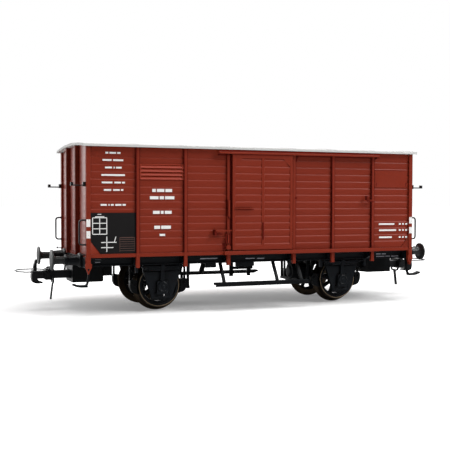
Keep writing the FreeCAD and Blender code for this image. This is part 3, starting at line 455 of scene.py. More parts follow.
def end_post_painted_shade():
    """The same paint, more matt on the narrow end posts and sills, and darker: painted shade for their
    shadowed sides.
    """
    return surface("body_paint", "sprayed_abs_oxide_brown_painted_shade", [0.62 * c for c in colours().body], 0.5,
                   0.16, 0.003, tint=0.08, specular=0.1)


def vent_painted_highlight():
    """Oxide-brown paint made paler on the vent's slats: a painted highlight for the light their faces catch.
    """
    return surface("body_paint", "sprayed_abs_oxide_brown_painted_highlight", [1.55 * c for c in colours().body], 0.45,
                   0.16, 0.003)


def seam_shade_paint():
    """Painted shade in narrow seams and gaps: a matt, even dark brown that stands for shadow."""
    return surface("body_paint", "painted_seam_shade", colours().seam_shade, 0.7, 0.1, 0.004, tint=0.15, specular=0.08)


def worn_metal_and_glint():
    """Nickel silver on the outer edge of the tyre: bright metal, made pale enough to be also a painted
    highlight for the glint the edge catches.
    """
    return surface("tyre_metal", "rubbed_nickel_silver_glint", colours().wear_and_glint, 0.38, 0.1, 0.004, tint=0.15,
                   metallic=0.7)


def matt_black_and_shade():
    """Black moulded ABS of the footboards, duller and half as light as the frame; on the brake cylinder,
    deep under the wagon, the darker colour is painted shade.
    """
    return surface("underframe_black", "moulded_abs_black_matt_and_shade", [0.5 * c for c in colours().underframe],
                   0.55, 0.12, 0.004, tint=0.12, specular=0.18)


def roof_paint():
    """Pale grey paint sprayed on ABS over a fine canvas texture: matt, with faint clouds of tint."""
    return surface("roof_paint", "sprayed_abs_pale_grey", colours().roof, 0.62, 0.2, 0.01, tint=0.04,
                   cloud=9.0)


def underframe_plastic():
    """Black moulded ABS, satin from the mould: edges catch a soft line of light.  Painted shade darkens it
    in corners and gaps, and towards the wagon's middle, where it lies in shadow.
    """
    return surface("underframe_black", "moulded_abs_black", colours().underframe, 0.36, 0.12, 0.004,
                   tint=0.12, specular=0.32, corner_shade=(0.8, 0.35, 0.95), inner=(9.0, 12.3, 0.3))


def board_paint():
    """Matt black pad print on the planks."""
    return surface("board_black", "pad_print_black", colours().board, 0.6, 0.15, 0.004, tint=0.08)


def print_white():
    """White pad print: an opaque, matt ink film."""
    return surface("board_black", "pad_print_white", colours().print, 0.55, 0.1, 0.002, tint=0.02)


def faded_print():
    """Small grey-white print on the sole bars, thin over black."""
    return surface("board_black", "printed_grey_white", colours().faded, 0.5, 0.2, 0.002, tint=0.1)


def faint_print():
    """Grey-brown print of the ruled patch on the marking board: thin, so it is only a little paler."""
    return surface("board_black", "printed_grey_brown", colours().faint, 0.5, 0.2, 0.002, tint=0.15)


def wheel_plastic():
    """Glass-filled black nylon of the wheel centres: dull, with a fine grain."""
    return surface("wheel_black", "moulded_nylon_black", colours().underframe, 0.5, 0.1, 0.006, tint=0.12)


def tyre_metal(end):
    """Chemically blackened nickel silver, turned: dark, with a warm sheen and fine lathe rings."""
    return surface("tyre_metal", "blackened_nickel_silver_" + end, colours().tyre, 0.32, 0.1, 0.002,
                   tint=0.15, metallic=1.0, rings=(*wheel_middle(end), 0.12, 0.6))


def axle_steel():
    """Bright turned steel axles."""
    return surface("axle_steel", "turned_steel", linear("#8C8A86"), 0.3, 0.1, 0.002, metallic=1.0)


def wire_black():
    """Chemically blackened brass wire and etched fittings: dark with a soft metallic line."""
    return surface("fitting_black", "blackened_wire", linear("#17181B"), 0.38, 0.1, 0.003, tint=0.1,
                   specular=0.6)


def buffer_black():
    """Black buffer plungers: smoother than the frame, so their heads show a soft gradient."""
    return surface("buffer_metal", "moulded_abs_black_smooth", linear("#2E3030"), 0.3, 0.12, 0.002, tint=0.08)


def coupler_plastic():
    """Tough black acetal of the couplers: a slightly waxy satin."""
    return surface("coupler_black", "moulded_acetal_black", linear("#191A1C"), 0.34, 0.12, 0.004, tint=0.1)


def coupler_steel():
    """Blackened spring steel of the coupler loops."""
    return surface("coupler_metal", "blackened_spring_steel", linear("#3A3B3D"), 0.36, 0.1, 0.003,
                   metallic=1.0)


def floor_brown():
    """Brown moulded load floor, planked across the wagon."""
    return surface("floor_brown", "moulded_abs_floor_brown", colours().floor, 0.6, 0.2, 0.01, tint=0.08)


def ballast_steel():
    """Cold-rolled steel sheet: grey with faint rolling marks."""
    return surface("ballast_steel", "rolled_steel", linear("#8E8F90"), 0.38, 0.15, 0.004, metallic=1.0)


# ---------------------------------------------------------------- settings
def colour(name, description, value):
    """Setting for a colour, with an sRGB hex default."""
    return FloatVectorProperty(name=name, description=description, default=linear(value), subtype="COLOR",
                               min=0.0, max=1.0, size=3)


def length(name, description, value):
    """Setting for a length, with a default in millimetres."""
    return FloatProperty(name=name, description=description, default=value * MM, min=0.0, unit="LENGTH",
                         subtype="DISTANCE", precision=5)


def level(name, description, value):
    """Setting for the strength of a light."""
    return FloatProperty(name=name, description=description, default=value, min=0.0)


class WagonColours(bpy.types.PropertyGroup):
    """Colours of the wagon's finishes."""
    body: colour("Body", "Oxide-brown paint of the walls and doors", "#7F2A18")
    roof: colour("Roof", "Pale grey paint of the roof", "#C9C9C7")
    underframe: colour("Underframe", "Black plastic of the underframe", "#12161B")
    board: colour("Marking board", "Black print of the marking boards", "#151213")
    print: colour("Markings", "White print of the markings", "#EDEDEB")
    # Painted shade: the dark brown of the lines and small parts that stand for shadows in seams and gaps.
    seam_shade: colour("Seams", "Dark paint and dirt settled in the seams of the body", "#64180F")
    faded: colour("Faded print", "Grey-white print on the sole bars", "#9A9AA2")
    faint: colour("Faint print", "Grey-brown print of the ruled patches", "#5E453E")
    # Partly painted highlight: the pale tyre edge also stands for the glint it catches.
    wear_and_glint: colour("Worn edge", "Bright metal rubbed free on the edge of the tyres", "#B09C82")
    tyre: colour("Tyres", "Blackened metal of the tyres", "#564A3D")
    floor: colour("Load floor", "Brown plastic of the load floor", "#6B4A3A")


class WagonSizes(bpy.types.PropertyGroup):
    """Sizes of the wagon's fine detail."""
    soft_edge: length("Soft edge", "Width of the rounding on moulded edges", 0.05)
    thin_edge: length("Thin edge", "Width of the rounding on thin fittings", 0.03)
    rivet: length("Rivet", "Radius of the rivet heads", 0.14)
    nail: length("Nail", "Radius of the nail heads in the planks", 0.07)
    print_film: length("Print film", "Thickness of the printed marks", 0.015)


class WagonStudio(bpy.types.PropertyGroup):
    """Light and camera of the studio."""
    focal: FloatProperty(name="Focal length", description="Focal length of the lens in millimetres",
                         default=65.51, min=1.0)
    overhead: level("Overhead", "Radiance of the softbox over the wagon", 6.5)
    key: level("Key", "Radiance of the high softbox at the front right", 11.0)
    rear: level("Rear", "Radiance of the softbox at the rear left", 3.0)
    ambient: level("Ambient", "Radiance of the room's even light", 0.2)


def colours():
    """The scene's colour settings."""
    return bpy.context.scene.wagon_colours


def sizes():
    """Detail sizes in millimetres, by name."""
    group = bpy.context.scene.wagon_sizes
    return {name: getattr(group, name) / MM for name in WagonSizes.__annotations__}


# ---------------------------------------------------------------- roof
ROOF_SHEET, SEAM_RISE, SEAM_HALF = 0.6, 0.12, 0.24
PLANK_FIRST, PLANK_PITCH, PLANK_JOINTS = 17.1, 1.8, 13
PLANK_LAP, PLANK_SHOULDER = 0.15, 0.3
OPENING_MARGIN = 0.3     # door opening beyond the free space in the record
POST_MIDDLE = 0.55       # middle line of a corner post, from the end of the body
SOLE_WEB = 0.35          # depth of the sole bar's web behind its lips


def arch(y):
    """Height of the roof's underside: z = crown - R + sqrt(R^2 - y^2), a circle through both eaves."""
    low, high = cad("roof")
    crown = high[2] - SEAM_RISE - ROOF_SHEET
    rise = crown - low[2]
    radius = (high[1] ** 2 + rise ** 2) / (2 * rise)
    return crown - radius + np.sqrt(radius ** 2 - np.asarray(y) ** 2)


def roof_sheet():
    """Sheet over the arch: its top is arch(y) + thickness + seam(x), where seam(x) is a low
    rounded ridge, rise * (1 - (d / half)^2)^2, over each post and along both ends."""
    low, high = cad("roof")
    posts = np.unique(np.round(solids("side_posts")[:, :, 0].mean(1), 2))
    seams = np.array([low[0] + SEAM_HALF, *posts, high[0] - SEAM_HALF])
    x = np.unique(np.round(np.add.outer(seams, np.linspace(-SEAM_HALF, SEAM_HALF, 9)).ravel(), 4))
    near = np.abs(np.subtract.outer(x, seams)).min(1) / SEAM_HALF
    ridge = SEAM_RISE * np.clip(1 - near ** 2, 0, 1) ** 2
    y = np.linspace(low[1], high[1], 41)
    gx, gy = np.meshgrid(x, y, indexing="ij")
    top = np.stack([gx, gy, arch(gy) + ROOF_SHEET + ridge[:, None]], -1)
    return plate(top, np.stack([gx, gy, arch(gy)], -1))


class WAGON_OT_roof(bpy.types.Operator):
    """Arched roof sheet with its seams"""
    bl_idname = "wagon.roof"
    bl_label = "Roof"

    def execute(self, context):
        make("roof_sheet", roof_sheet(), WAGON, roof_paint(), ["roof"], sizes()["soft_edge"])
        return {"FINISHED"}


# ---------------------------------------------------------------- body
def joints():
    """Heights of the joints between planks."""
    return PLANK_FIRST + PLANK_PITCH * np.arange(PLANK_JOINTS)


def relief(z):
    """Depth of a planked face at height z: each plank leans out as it rises, by LAP in one pitch, and
    its head is rounded back to the foot of the next one as LAP * (1 - d / shoulder)^1.7."""
    below = PLANK_PITCH - np.mod(z - PLANK_FIRST - 1e-6, PLANK_PITCH)
    lean = PLANK_LAP * (below - PLANK_SHOULDER) / (PLANK_PITCH - PLANK_SHOULDER)
    head = PLANK_LAP * np.clip(1 - below / PLANK_SHOULDER, 0, 1) ** 1.7
    return np.where(below > PLANK_SHOULDER, lean, head)


def plank_heights(low, high, *more):
    """Heights at which a planked face bends between low and high."""
    steps = -PLANK_SHOULDER * np.array([1, 0.8, 0.6, 0.4, 0.2, 0])
    z = np.concatenate([np.add.outer(joints(), steps).ravel(), [low, high, *more]])
    return np.unique(np.round(z[(z >= low) & (z <= high)], 4))


def side_wall():
    """Left wall: front (x, y0 + relief(z), z) and back (x, y1 - relief(z) / 3, z), open at door and vent."""
    low, high = cad("side_wall_left")
    vent, door = left_box("vent_louvres"), door_opening()
    x = np.array([low[0], vent[0][0] + 0.1, vent[1][0] - 0.1, door[0][0], door[1][0], high[0]])
    z = plank_heights(low[2], high[2] + 0.03, vent[0][2] + 0.15, vent[1][2] - 0.15, door[0][2], door[1][2])
    gx, gz = np.meshgrid(x, z, indexing="ij")
    mx, mz = np.meshgrid((x[1:] + x[:-1]) / 2, (z[1:] + z[:-1]) / 2, indexing="ij")
    solid = np.ones(mx.shape, bool)
    for (x0, _, z0), (x1, _, z1) in ((vent[0] + 0.12, vent[1] - 0.12), door):
        solid &= ~((mx > x0) & (mx < x1) & (mz > z0) & (mz < z1))
    front = np.stack([gx, low[1] + relief(gz), gz], -1)
    back = np.stack([gx, high[1] - relief(gz) / 3, gz], -1)
    return plate(front, back, solid)


def door_opening():
    """Door opening of the left wall: the record's free space and the margin it leaves round it."""
    boxes = {o["name"]: o["box_m"] for o in frame["record"]["physics"]["openings"]}
    low, high = np.array(boxes["door_opening_left"]) / MM
    return low - OPENING_MARGIN, high + OPENING_MARGIN


def end_wall():
    """Front wall: faces (x0 + relief(z) / 3, y, z) and (x1 - relief(z) / 3, y, z) under the arch."""
    low, high = cad("end_wall_front")
    y = np.linspace(low[1], high[1], 21)
    z = plank_heights(low[2], arch(high[1]) - 0.5)
    gy, gz = np.meshgrid(y, np.append(z, 0), indexing="ij")
    gz[:, -1] = arch(y) + 0.1
    outer = np.stack([low[0] + relief(gz) / 3, gy, gz], -1)
    return plate(outer, np.stack([high[0] - relief(gz) / 3, gy, gz], -1))


class WAGON_OT_walls(bpy.types.Operator):
    """Planked side and end walls"""
    bl_idname = "wagon.walls"
    bl_label = "Walls"

    def execute(self, context):
        side, end, paint = side_wall(), end_wall(), body_paint()
        make("side_planks_left", side, WAGON, paint, ["side_wall_left"])
        make("side_planks_right", turned(side), WAGON, paint, ["side_wall_right"])
        make("end_planks_front", end, WAGON, end_paint(), ["end_wall_front"])
        make("end_planks_rear", turned(end), WAGON, end_paint(), ["end_wall_rear"])
        return {"FINISHED"}


class WAGON_OT_posts(bpy.types.Operator):
    """Posts and sills of the body, with the nail heads beside the corner posts"""
    bl_idname = "wagon.posts"
    bl_label = "Posts"

    def execute(self, context):
        for node in ("side_posts", "corner_posts", "side_sills"):
            softened(node, WAGON, body_paint(), sizes()["soft_edge"])
        # The end posts and sills take a darker copy of the body paint: painted shade for their shadowed
        # sides.
        for node in ("end_posts", "end_sills"):
            softened(node, WAGON, end_post_painted_shade(), sizes()["soft_edge"])
        low, high = cad("corner_posts")
        middle, face, foot = high[0] - POST_MIDDLE, low[1], low[2]
        heights = joints() + PLANK_PITCH / 2
        nails = rivets([(q * middle, face, z) for q in (-1, 1) for z in heights], (0, -1, 0), sizes()["nail"])
        make("corner_nails", both(nails), WAGON, body_paint())
        shoes, eyes = [], []
        for q in (-1, 1):
            wing = [(q * middle - 0.8, foot + 1.75), (q * middle, foot + 0.1),
                    (q * middle + 0.8, foot + 1.75), (q * middle + 0.8, foot + 2.6),
                    (q * middle - 0.8, foot + 2.6)]
            shoes.append(prism(fillet(wing, 0.12, 3), face - 0.015, face + 0.3))
            eye = [(q * middle - 0.3, foot + 1.45), (q * middle, foot + 0.8), (q * middle + 0.3, foot + 1.45)]
            eyes.append(prism(fillet(eye, 0.08, 3), face - 0.03, face + 0.1))
        make("post_shoes", both(join(*shoes)), WAGON, body_paint())
        make("post_shoe_eyes", both(join(*eyes)), WAGON, underframe_plastic())
        # Painted shade: dark lines on and beside the side posts, where their shadows fall.
        planks, sill = cad("side_wall_left")[0][1], cad("side_sills")[1][2]
        lines = []
        for low, high in solids("side_posts"):
            if low[1] < 0:
                x0, x1, top, jamb = low[0], high[0], high[2], cad("door_left")[1][0] + 1
                lines += [film(x1 - 0.1, x1, sill, top, low[1]), film(x1, x1 + 0.16, sill, top, planks)]
                if x1 < -jamb - 1 or x0 > jamb:
                    lines += [film(x0, x0 + 0.22, sill, top, low[1]), film(x0 - 0.16, x0, sill, top, planks)]
        make("post_shade_lines", both(join(*lines)), WAGON, seam_shade_paint())
        return {"FINISHED"}


def louvre():
    """Four slats of the left vent in a thin frame: each slat's face leans back as it rises."""
    low, high = left_box("vent_louvres")
    front, depth, pitch = low[1], 0.5, (high[2] - low[2] - 0.15) / 4
    slats = []
    for k in range(4):
        z = low[2] + 0.12 + pitch * k
        section = fillet([(front, z), (front + depth, z + 0.86), (front + depth + 0.14, z + 0.78),
                          (front + 0.12, z - 0.1)], 0.05)
        slats.append(prism(section, low[0] + 0.02, high[0] - 0.02, "x"))
    x = np.array([low[0], low[0] + 0.3, high[0] - 0.3, high[0]])
    z = np.array([low[2], low[2] + 0.1, high[2] - 0.2, high[2]])
    gx, gz = np.meshgrid(x, z, indexing="ij")
    solid = np.ones((3, 3), bool)
    solid[1, 1] = False
    rim = plate(np.stack([gx, 0 * gx + front + 0.12, gz], -1), np.stack([gx, 0 * gx + high[1], gz], -1),
                solid)
    return join(rim, *slats)


class WAGON_OT_vents(bpy.types.Operator):
    """Louvred vents and vent flaps with their hinges"""
    bl_idname = "wagon.vents"
    bl_label = "Vents"

    def execute(self, context):
        # The paler slats are a painted highlight.
        make("vent_slats", both(louvre()), WAGON, vent_painted_highlight(), ["vent_louvres"], 0.02)
        low, high = left_box("vent_flaps")
        planks = cad("side_wall_left")[0][1]
        leaf = block((low[0], planks - 0.02, low[2]), (high[0], planks + 0.1, high[2]))
        make("flap_leaves", both(leaf), WAGON, body_paint(), ["vent_flaps"])
        # Painted shade: a dark line along the top of each flap, and dark marks at its hinges.
        seams = [film(low[0], high[0], high[2], high[2] + 0.14, planks)]
        seams += [film(x - 0.12, x + 0.12, low[2] + 0.3, low[2] + 1.3, planks - 0.02)
                  for x in (low[0] + 0.45, high[0] - 0.45)]
        make("flap_shade_lines", both(join(*seams)), WAGON, seam_shade_paint())
        return {"FINISHED"}


DOOR_FRAME, DOOR_BAR, DOOR_SUNK, DOOR_GUSSET, DOOR_STAND = 0.75, 0.34, 0.05, 2.1, 0.38


def door():
    """Left door: y = face + sunk + relief(z) in its two panels and y = face on its frame and middle bar,
    with a flat gusset in each upper corner and a pull."""
    low, high = cad("door_left")
    face, step = cad("door_rails_lower")[0][1] + DOOR_STAND, 0.06
    side, edge = high[0] - DOOR_FRAME, DOOR_BAR
    x = np.array([low[0], -side, step - side, -edge - step, -edge, edge, edge + step, side - step, side,
                  high[0]])
    foot, head = low[2] + 1.1, high[2] - 1.5
    z = plank_heights(low[2], high[2], foot, foot + step, head - step, head)
    gx, gz = np.meshgrid(x, z, indexing="ij")
    across = (np.abs(gx) > edge + step / 2) & (np.abs(gx) < side - step / 2)
    panel = across & (gz > foot + step / 2) & (gz < head - step / 2)
    front = np.stack([gx, face + np.where(panel, DOOR_SUNK + relief(gz), 0), gz], -1)
    back = np.stack([gx, 0 * gx + high[1], gz], -1)
    shapes = [plate(front, back)]
    for q in (-1, 1):
        shapes.append(prism([(q * side, head), (q * side, head - DOOR_GUSSET),
                             (q * (side - DOOR_GUSSET), head)], face + 0.02, face + 0.3))
    shapes.append(rounded(-side - 0.2, -3.1, 26.0, 26.22, 0.08, face - 0.28, face + 0.05))
    return join(*shapes)


def door_shade_lines():
    """Painted shade on the left door: dark lines for the shadows under its pull and rail, and its upright
    bolt bar in the same dark colour.
    """
    face = cad("door_rails_lower")[0][1] + DOOR_STAND
    bar = rounded(-0.13, 0.15, 18.05, 22.5, 0.1, face - 0.2, face)
    return join(bar, film(-7.0, -2.6, 25.78, 25.98, face), film(-8.4, 8.4, 39.84, 40.0, face))


class WAGON_OT_doors(bpy.types.Operator):
    """Sliding doors, each on its own body, with the bolts of their frames"""
    bl_idname = "wagon.doors"
    bl_label = "Doors"

    def execute(self, context):
        low, high = cad("door_left")
        face = cad("door_rails_lower")[0][1] + DOOR_STAND
        heights = joints() + PLANK_PITCH / 2
        heights = heights[(heights > low[2] + 1) & (heights < high[2] - 1)]
        bolts = rivets([(x, face, z) for x in (low[0] + 0.38, high[0] - 0.38) for z in heights],
                       (0, -1, 0), sizes()["nail"])
        for node, leaf, heads in (("door_left", door(), bolts),
                                  ("door_right", turned(door()), turned(bolts))):
            make(node + "_leaf", leaf, node, body_paint(), [node])
            make(node + "_bolts", heads, node, body_paint())
        # Painted shade: dark lines and the bolt bar in the colour of shadow.
        make("door_left_shade_lines", door_shade_lines(), "door_left", seam_shade_paint())
        make("door_right_shade_lines", turned(door_shade_lines()), "door_right", seam_shade_paint())
        return {"FINISHED"}


def upper_rail():
    """Left upper rail: an angle whose lip is stepped back above its bright lower edge."""
    low, high = left_box("door_rails_upper")
    y, z, back = low[1], low[2], cad("side_posts")[0][1]
    section = [(y, z), (y, z + 0.4), (y + 0.22, z + 0.48), (y + 0.22, high[2]), (back, high[2]),
               (back, z + 0.6), (y + 0.3, z + 0.6), (y + 0.3, z)]
    return prism(section, low[0], high[0], "x")


def lower_rail():
    """Left lower rail: a shallow channel whose lip keeps the door in."""
    low, high = left_box("door_rails_lower")
    y, z, back, top = low[1], low[2], cad("side_posts")[0][1], low[2] + 0.98
    section = fillet([(y, z), (y, top), (y + 0.26, top), (y + 0.26, z + 0.6), (back, z + 0.6), (back, z)],
                     [0.05, 0.1, 0.05, 0.05, 0, 0], 3)
    return prism(section, low[0], high[0], "x")


# Places (x, z) on the left side are in millimetres from the middle of the wagon and from the floor.
def latch():
    """Door latch: bar with its end brackets, the staple and block under it, and the locking strip, then
    what is drawn dark round them as painted shade: the gap beside the door, the brackets and the shadow under
    the rail."""
    post, lip, planks = cad("side_posts")[0][1], cad("door_latches")[0][1], cad("side_wall_left")[0][1]
    bar = rounded(-13.2, -8.8, 20.35, 20.68, 0.08, lip, lip + 0.25)
    staple = rounded(-9.75, -9.42, 17.3, 19.5, 0.08, post - 0.4, post)
    foot = prism(fillet([(-10.1, 15.7), (-8.9, 15.7), (-8.9, 16.5), (-9.5, 16.9), (-10.1, 16.5)], 0.1, 3),
                 post - 0.35, post)
    strip = prism(fillet([(-9.55, 24.3), (-9.1, 23.6), (-9.1, 28.3), (-9.55, 28.3)], 0.06, 3), post - 0.3,
                  post)
    light = [bar, staple, foot, strip]
    hinge = prism(fillet([(-13.45, 19.3), (-12.9, 19.3), (-12.9, 20.3), (-13.1, 20.8), (-13.45, 20.8)],
                         0.12, 3), lip + 0.1, planks)
    stay = rounded(-12.5, -11.2, 19.45, 19.8, 0.08, lip + 0.5, planks)
    sides = [prism([(x0, 17.2), (x1, 17.2), (x1, 19.7), (x0, 19.7)], post - 0.2, post)
             for x0, x1 in ((-10.25, -9.85), (-9.3, -8.9))]
    rail = cad("door_rails_upper")[0][2]
    # Painted shade: these dark pieces and strips stand for the shadows round the latch.
    dark = [hinge, stay, *sides, film(-8.85, -7.9, 15.7, 39.6, planks), film(-9.1, -8.85, 20.6, rail, post),
            film(-9.75, -9.58, 24.2, 28.3, post), film(-9.87, -9.75, 15.7, rail, planks),
            film(-10.0, -9.75, 24.2, 28.3, planks),
            prism([(-9.8, 24.3), (-9.55, 24.3), (-9.0, 23.3), (-9.2, 23.3)], post - 0.02, post),
            film(-10.9, -10.25, 15.75, 17.2, planks), film(-12.2, -8.9, rail - 0.42, rail, planks),
            film(-9.75, -8.85, rail - 0.4, rail, post)]
    return light, dark


def catch():
    """Catch that holds the open door: a J bent from wire, dark with painted shade, and the bright tongue in
    it.
    """
    low, _ = cad("door_catches")
    y, x = low[1] + 0.2, 30.95
    line = fillet([(x, y, 29.4), (x, y, 27.95), (x + 1.95, y, 27.95)], 0.5, 5, False)
    tongue = rounded(x + 0.55, 33.0, 28.2, 28.42, 0.06, y, y + 0.5, steps=2)
    knob = rounded(x - 0.22, x + 0.22, 28.3, 29.5, 0.15, y, y + 0.6)
    return [tongue], [sweep(circle(0.15, 10), line, (0, 1, 0)), knob]


class WAGON_OT_door_gear(bpy.types.Operator):
    """Door rails, latches and catches"""
    bl_idname = "wagon.door_gear"
    bl_label = "Door rails and latches"

    def execute(self, context):
        make("lower_rails", both(lower_rail()), WAGON, body_paint(), ["door_rails_lower"])
        make("upper_rails", both(upper_rail()), WAGON, body_paint(), ["door_rails_upper"], 0.03)
        light, dark = latch()
        tongue, hook = catch()
        make("latches", both(join(*light)), WAGON, body_paint(), ["door_latches"])
        make("catch_tongues", both(join(*tongue)), WAGON, body_paint(), ["door_catches"])
        low, high = left_box("door_rails_upper")
        post, planks, x = cad("side_posts")[0][1], cad("side_wall_left")[0][1], cad("door_left")[1][0]
        knee = sweep(circle(0.16, 10),
                     fillet([(x + 1.3, post, 38.4), (x + 1.5, post, 39.2), (x + 2.2, post, 40.1)], 0.8, 4,
                            False), (0, 1, 0))
        stop = rounded(x + 1.0, x + 1.5, 28.6, 29.1, 0.12, post - 0.15, post)
        end = block((high[0] - 0.75, low[1] + 0.1, low[2] - 0.35), (high[0] - 0.05, planks, low[2]))
        # Painted shade: dark lines under the upper rail's end and along its recessed upper part; the hook,
        # knee, stop and rail end take the same dark colour.
        seams = [film(x + 1.3, high[0] - 0.1, low[2] - 0.32, low[2], planks),
                 film(low[0] + 0.05, high[0] - 0.05, low[2] + 0.56, high[2], low[1] + 0.22)]
        make("door_gear_shade", both(join(*dark, *hook, knee, stop, end, *seams)), WAGON, seam_shade_paint())
        return {"FINISHED"}


# ---------------------------------------------------------------- markings
# Rows of plain bars in place of lettering: (height of the row's middle, bar height, bar ends ...)
FIRST_BAY = ((39.6, 0.42, -41.2, -40.5, -40.2, -38.6, -38.3, -37.5),
             (37.85, 0.42, -41.9, -39.7, -39.3, -36.8),
             (36.05, 0.42, -41.3, -39.6, -39.2, -38.9, -38.6, -37.2),
             (34.25, 0.42, -42.2, -36.4),
             (32.45, 0.42, -42.1, -39.5, -39.0, -37.4, -37.1, -36.4),
             (30.65, 0.42, -41.6, -39.8, -39.3, -37.7, -37.4, -36.8),
             (27.05, 0.42, -42.4, -40.9, -40.5, -40.2, -39.9, -39.2, -38.8, -37.3, -37.0, -36.2))
SECOND_BAY = ((30.6, 0.75, -29.5, -28.6, -28.3, -26.4, -26.1, -24.4),
              (28.8, 0.75, -30.1, -27.9, -27.6, -26.5, -26.2, -23.8),
              (25.2, 0.75, -29.3, -27.6, -27.3, -26.6, -26.3, -24.5),
              (21.5, 0.8, -29.0, -27.5, -27.2, -24.7),
              (19.6, 0.55, -27.6, -26.2))
LAST_BAY = ((21.7, 0.45, 35.4, 40.4, 41.9, 42.5, 43.0, 43.5, 44.0, 44.6),
            (20.0, 0.45, 35.5, 41.0, 41.9, 42.5, 43.0, 43.5, 44.0, 44.6),
            (18.05, 0.45, 35.5, 39.6, 41.9, 42.5, 43.0, 43.5, 44.0, 44.6))

# Plain dashes on the sole bar: (x0, x1, z0, z1)
SOLE_MARKS = ((-15.8, -11.1, 13.08, 13.34), (-3.2, -0.6, 12.84, 13.1), (0.1, 2.2, 12.78, 13.04),
              (-43.1, -41.6, 13.6, 13.8), (-43.1, -41.8, 12.9, 13.08), (36.5, 38.0, 13.12, 13.36),
              (38.4, 39.7, 13.12, 13.36), (36.5, 39.2, 12.42, 12.68), (39.6, 41.0, 12.42, 12.68),
              (41.4, 43.8, 12.42, 12.68))


def film(x0, x1, z0, z1, face):
    """Thin patch on a face that looks to the left side: printed marks, and the dark lines of painted shade.
    """
    return block((x0, face - sizes()["print_film"], z0), (x1, face + 0.03, z1))


def bars(rows, face):
    """Printed bars of the marking rows on a face."""
    return [film(line[i], line[i + 1], line[0] - line[1] / 2, line[0] + line[1] / 2, face)
            for line in rows for i in range(2, len(line), 2)]


def board_marks(board, face):
    """A plain grid of six panes, a few strokes and a ruled patch on the marking board."""
    x0, z0 = board[0][0], board[0][2]
    pen = 0.2
    left, right, foot, head = x0 + 0.5, x0 + 3.95, z0 + 4.75, z0 + 8.7
    marks = [film(x - pen / 2, x + pen / 2, foot, head, face) for x in (left, (left + right) / 2, right)]
    marks += [film(left, right, z - pen / 2, z + pen / 2, face) for z in np.linspace(foot, head, 4)]
    marks += [film(left + 0.6, right - 0.6, head, head + 0.35, face),
              film(left + 1.2, left + 2.1, head + 0.75, head + 0.9, face)]
    mast = right
    marks += [film(mast - pen / 2, mast + pen / 2, z0 + 0.45, z0 + 4.15, face),
              film(mast - 1.4, mast + 2.4, z0 + 2.65, z0 + 2.85, face),
              film(mast - 1.4, mast + 1.6, z0 + 1.4, z0 + 1.6, face)]
    tick = [(mast + 1.75, z0 + 2.8), (mast + 1.95, z0 + 2.8), (mast + 2.35, z0 + 4.1),
            (mast + 2.15, z0 + 4.1)]
    marks.append(prism(tick, face - sizes()["print_film"], face + 0.03))
    return marks


class WAGON_OT_markings(bpy.types.Operator):
    """Marking boards, blank squares and white bars in place of lettering"""
    bl_idname = "wagon.markings"
    bl_label = "Markings"

    def execute(self, context):
        softened("marking_boards", WAGON, board_paint(), sizes()["thin_edge"])
        planks, post = cad("side_wall_left")[0][1], cad("corner_posts")[0][1]
        board = left_box("marking_boards")
        marks = bars(FIRST_BAY + SECOND_BAY + LAST_BAY, planks) + board_marks(board, board[0][1])
        half = cad("corner_posts")[1][0]
        for x0, x1 in ((-half + 0.05, -half + 1.0), (half - 1.0, half - 0.05)):
            marks += [film(x0, x1, z0, z1, post) for z0, z1 in ((21.8, 23.6), (19.05, 20.8))]
        web = cad("sole_bars")[0][1] + SOLE_WEB
        faded = [film(*place, web) for place in SOLE_MARKS]
        make("sole_bar_marks", both(join(*faded)), WAGON, faded_print())
        make("white_marks", both(join(*marks)), WAGON, print_white())
        low, high = board
        ruled = [film(high[0] - 4.1, high[0] - 0.25, z, z + 0.11, low[1])
                 for z in low[2] + np.arange(0.6, 3.6, 0.55)]
        ruled += [film(x, x + 0.11, low[2] + 0.4, low[2] + 3.9, low[1])
                  for x in (high[0] - 4.1, high[0] - 0.36)]
        ruled.append(film(high[0] - 4.1, high[0] - 0.25, low[2] + 3.75, low[2] + 3.93, low[1]))
        make("ruled_patch", both(join(*ruled)), WAGON, faint_print())
        return {"FINISHED"}


# ---------------------------------------------------------------- interior
class WAGON_OT_interior(bpy.types.Operator):
    """Planked load floor and the ballast plate under it"""
    bl_idname = "wagon.interior"
    bl_label = "Interior"

    def execute(self, context):
        low, high = cad("load_floor")
        seams = np.linspace(low[0], high[0], 46)[1:-1]
        x = np.unique(np.append(np.add.outer(seams, (-0.12, -0.05, 0, 0.05, 0.12)).ravel(),
                                (low[0], high[0])))
        near = np.abs(np.subtract.outer(x, seams)).min(1)
        dip = 0.1 * np.clip(1 - near / 0.12, 0, 1)
        gx, gy = np.meshgrid(x, (low[1], high[1]), indexing="ij")
        top = np.stack([gx, gy, high[2] - np.broadcast_to(dip[:, None], gx.shape)], -1)
        boards = plate(top, np.stack([gx, gy, 0 * gx + low[2]], -1))
        make("load_boards", boards, WAGON, floor_brown(), ["load_floor"])
        softened("ballast_plate", WAGON, ballast_steel(), sizes()["soft_edge"])
        return {"FINISHED"}


# ---------------------------------------------------------------- underframe
def sole_bar():
    """Left sole bar: a channel section with small radii, carried along the wagon."""
    low, high = left_box("sole_bars")
    web, lip = low[1] + SOLE_WEB, 0.3
    section = fillet([(high[1], low[2]), (low[1], low[2]), (low[1], low[2] + lip), (web, low[2] + lip),
                      (web, high[2] - lip), (low[1], high[2] - lip), (low[1], high[2]), (high[1], high[2])],
                     [0, 0.06, 0.06, 0.12, 0.12, 0.06, 0.06, 0], 3)
    return prism(section, low[0], high[0], "x")


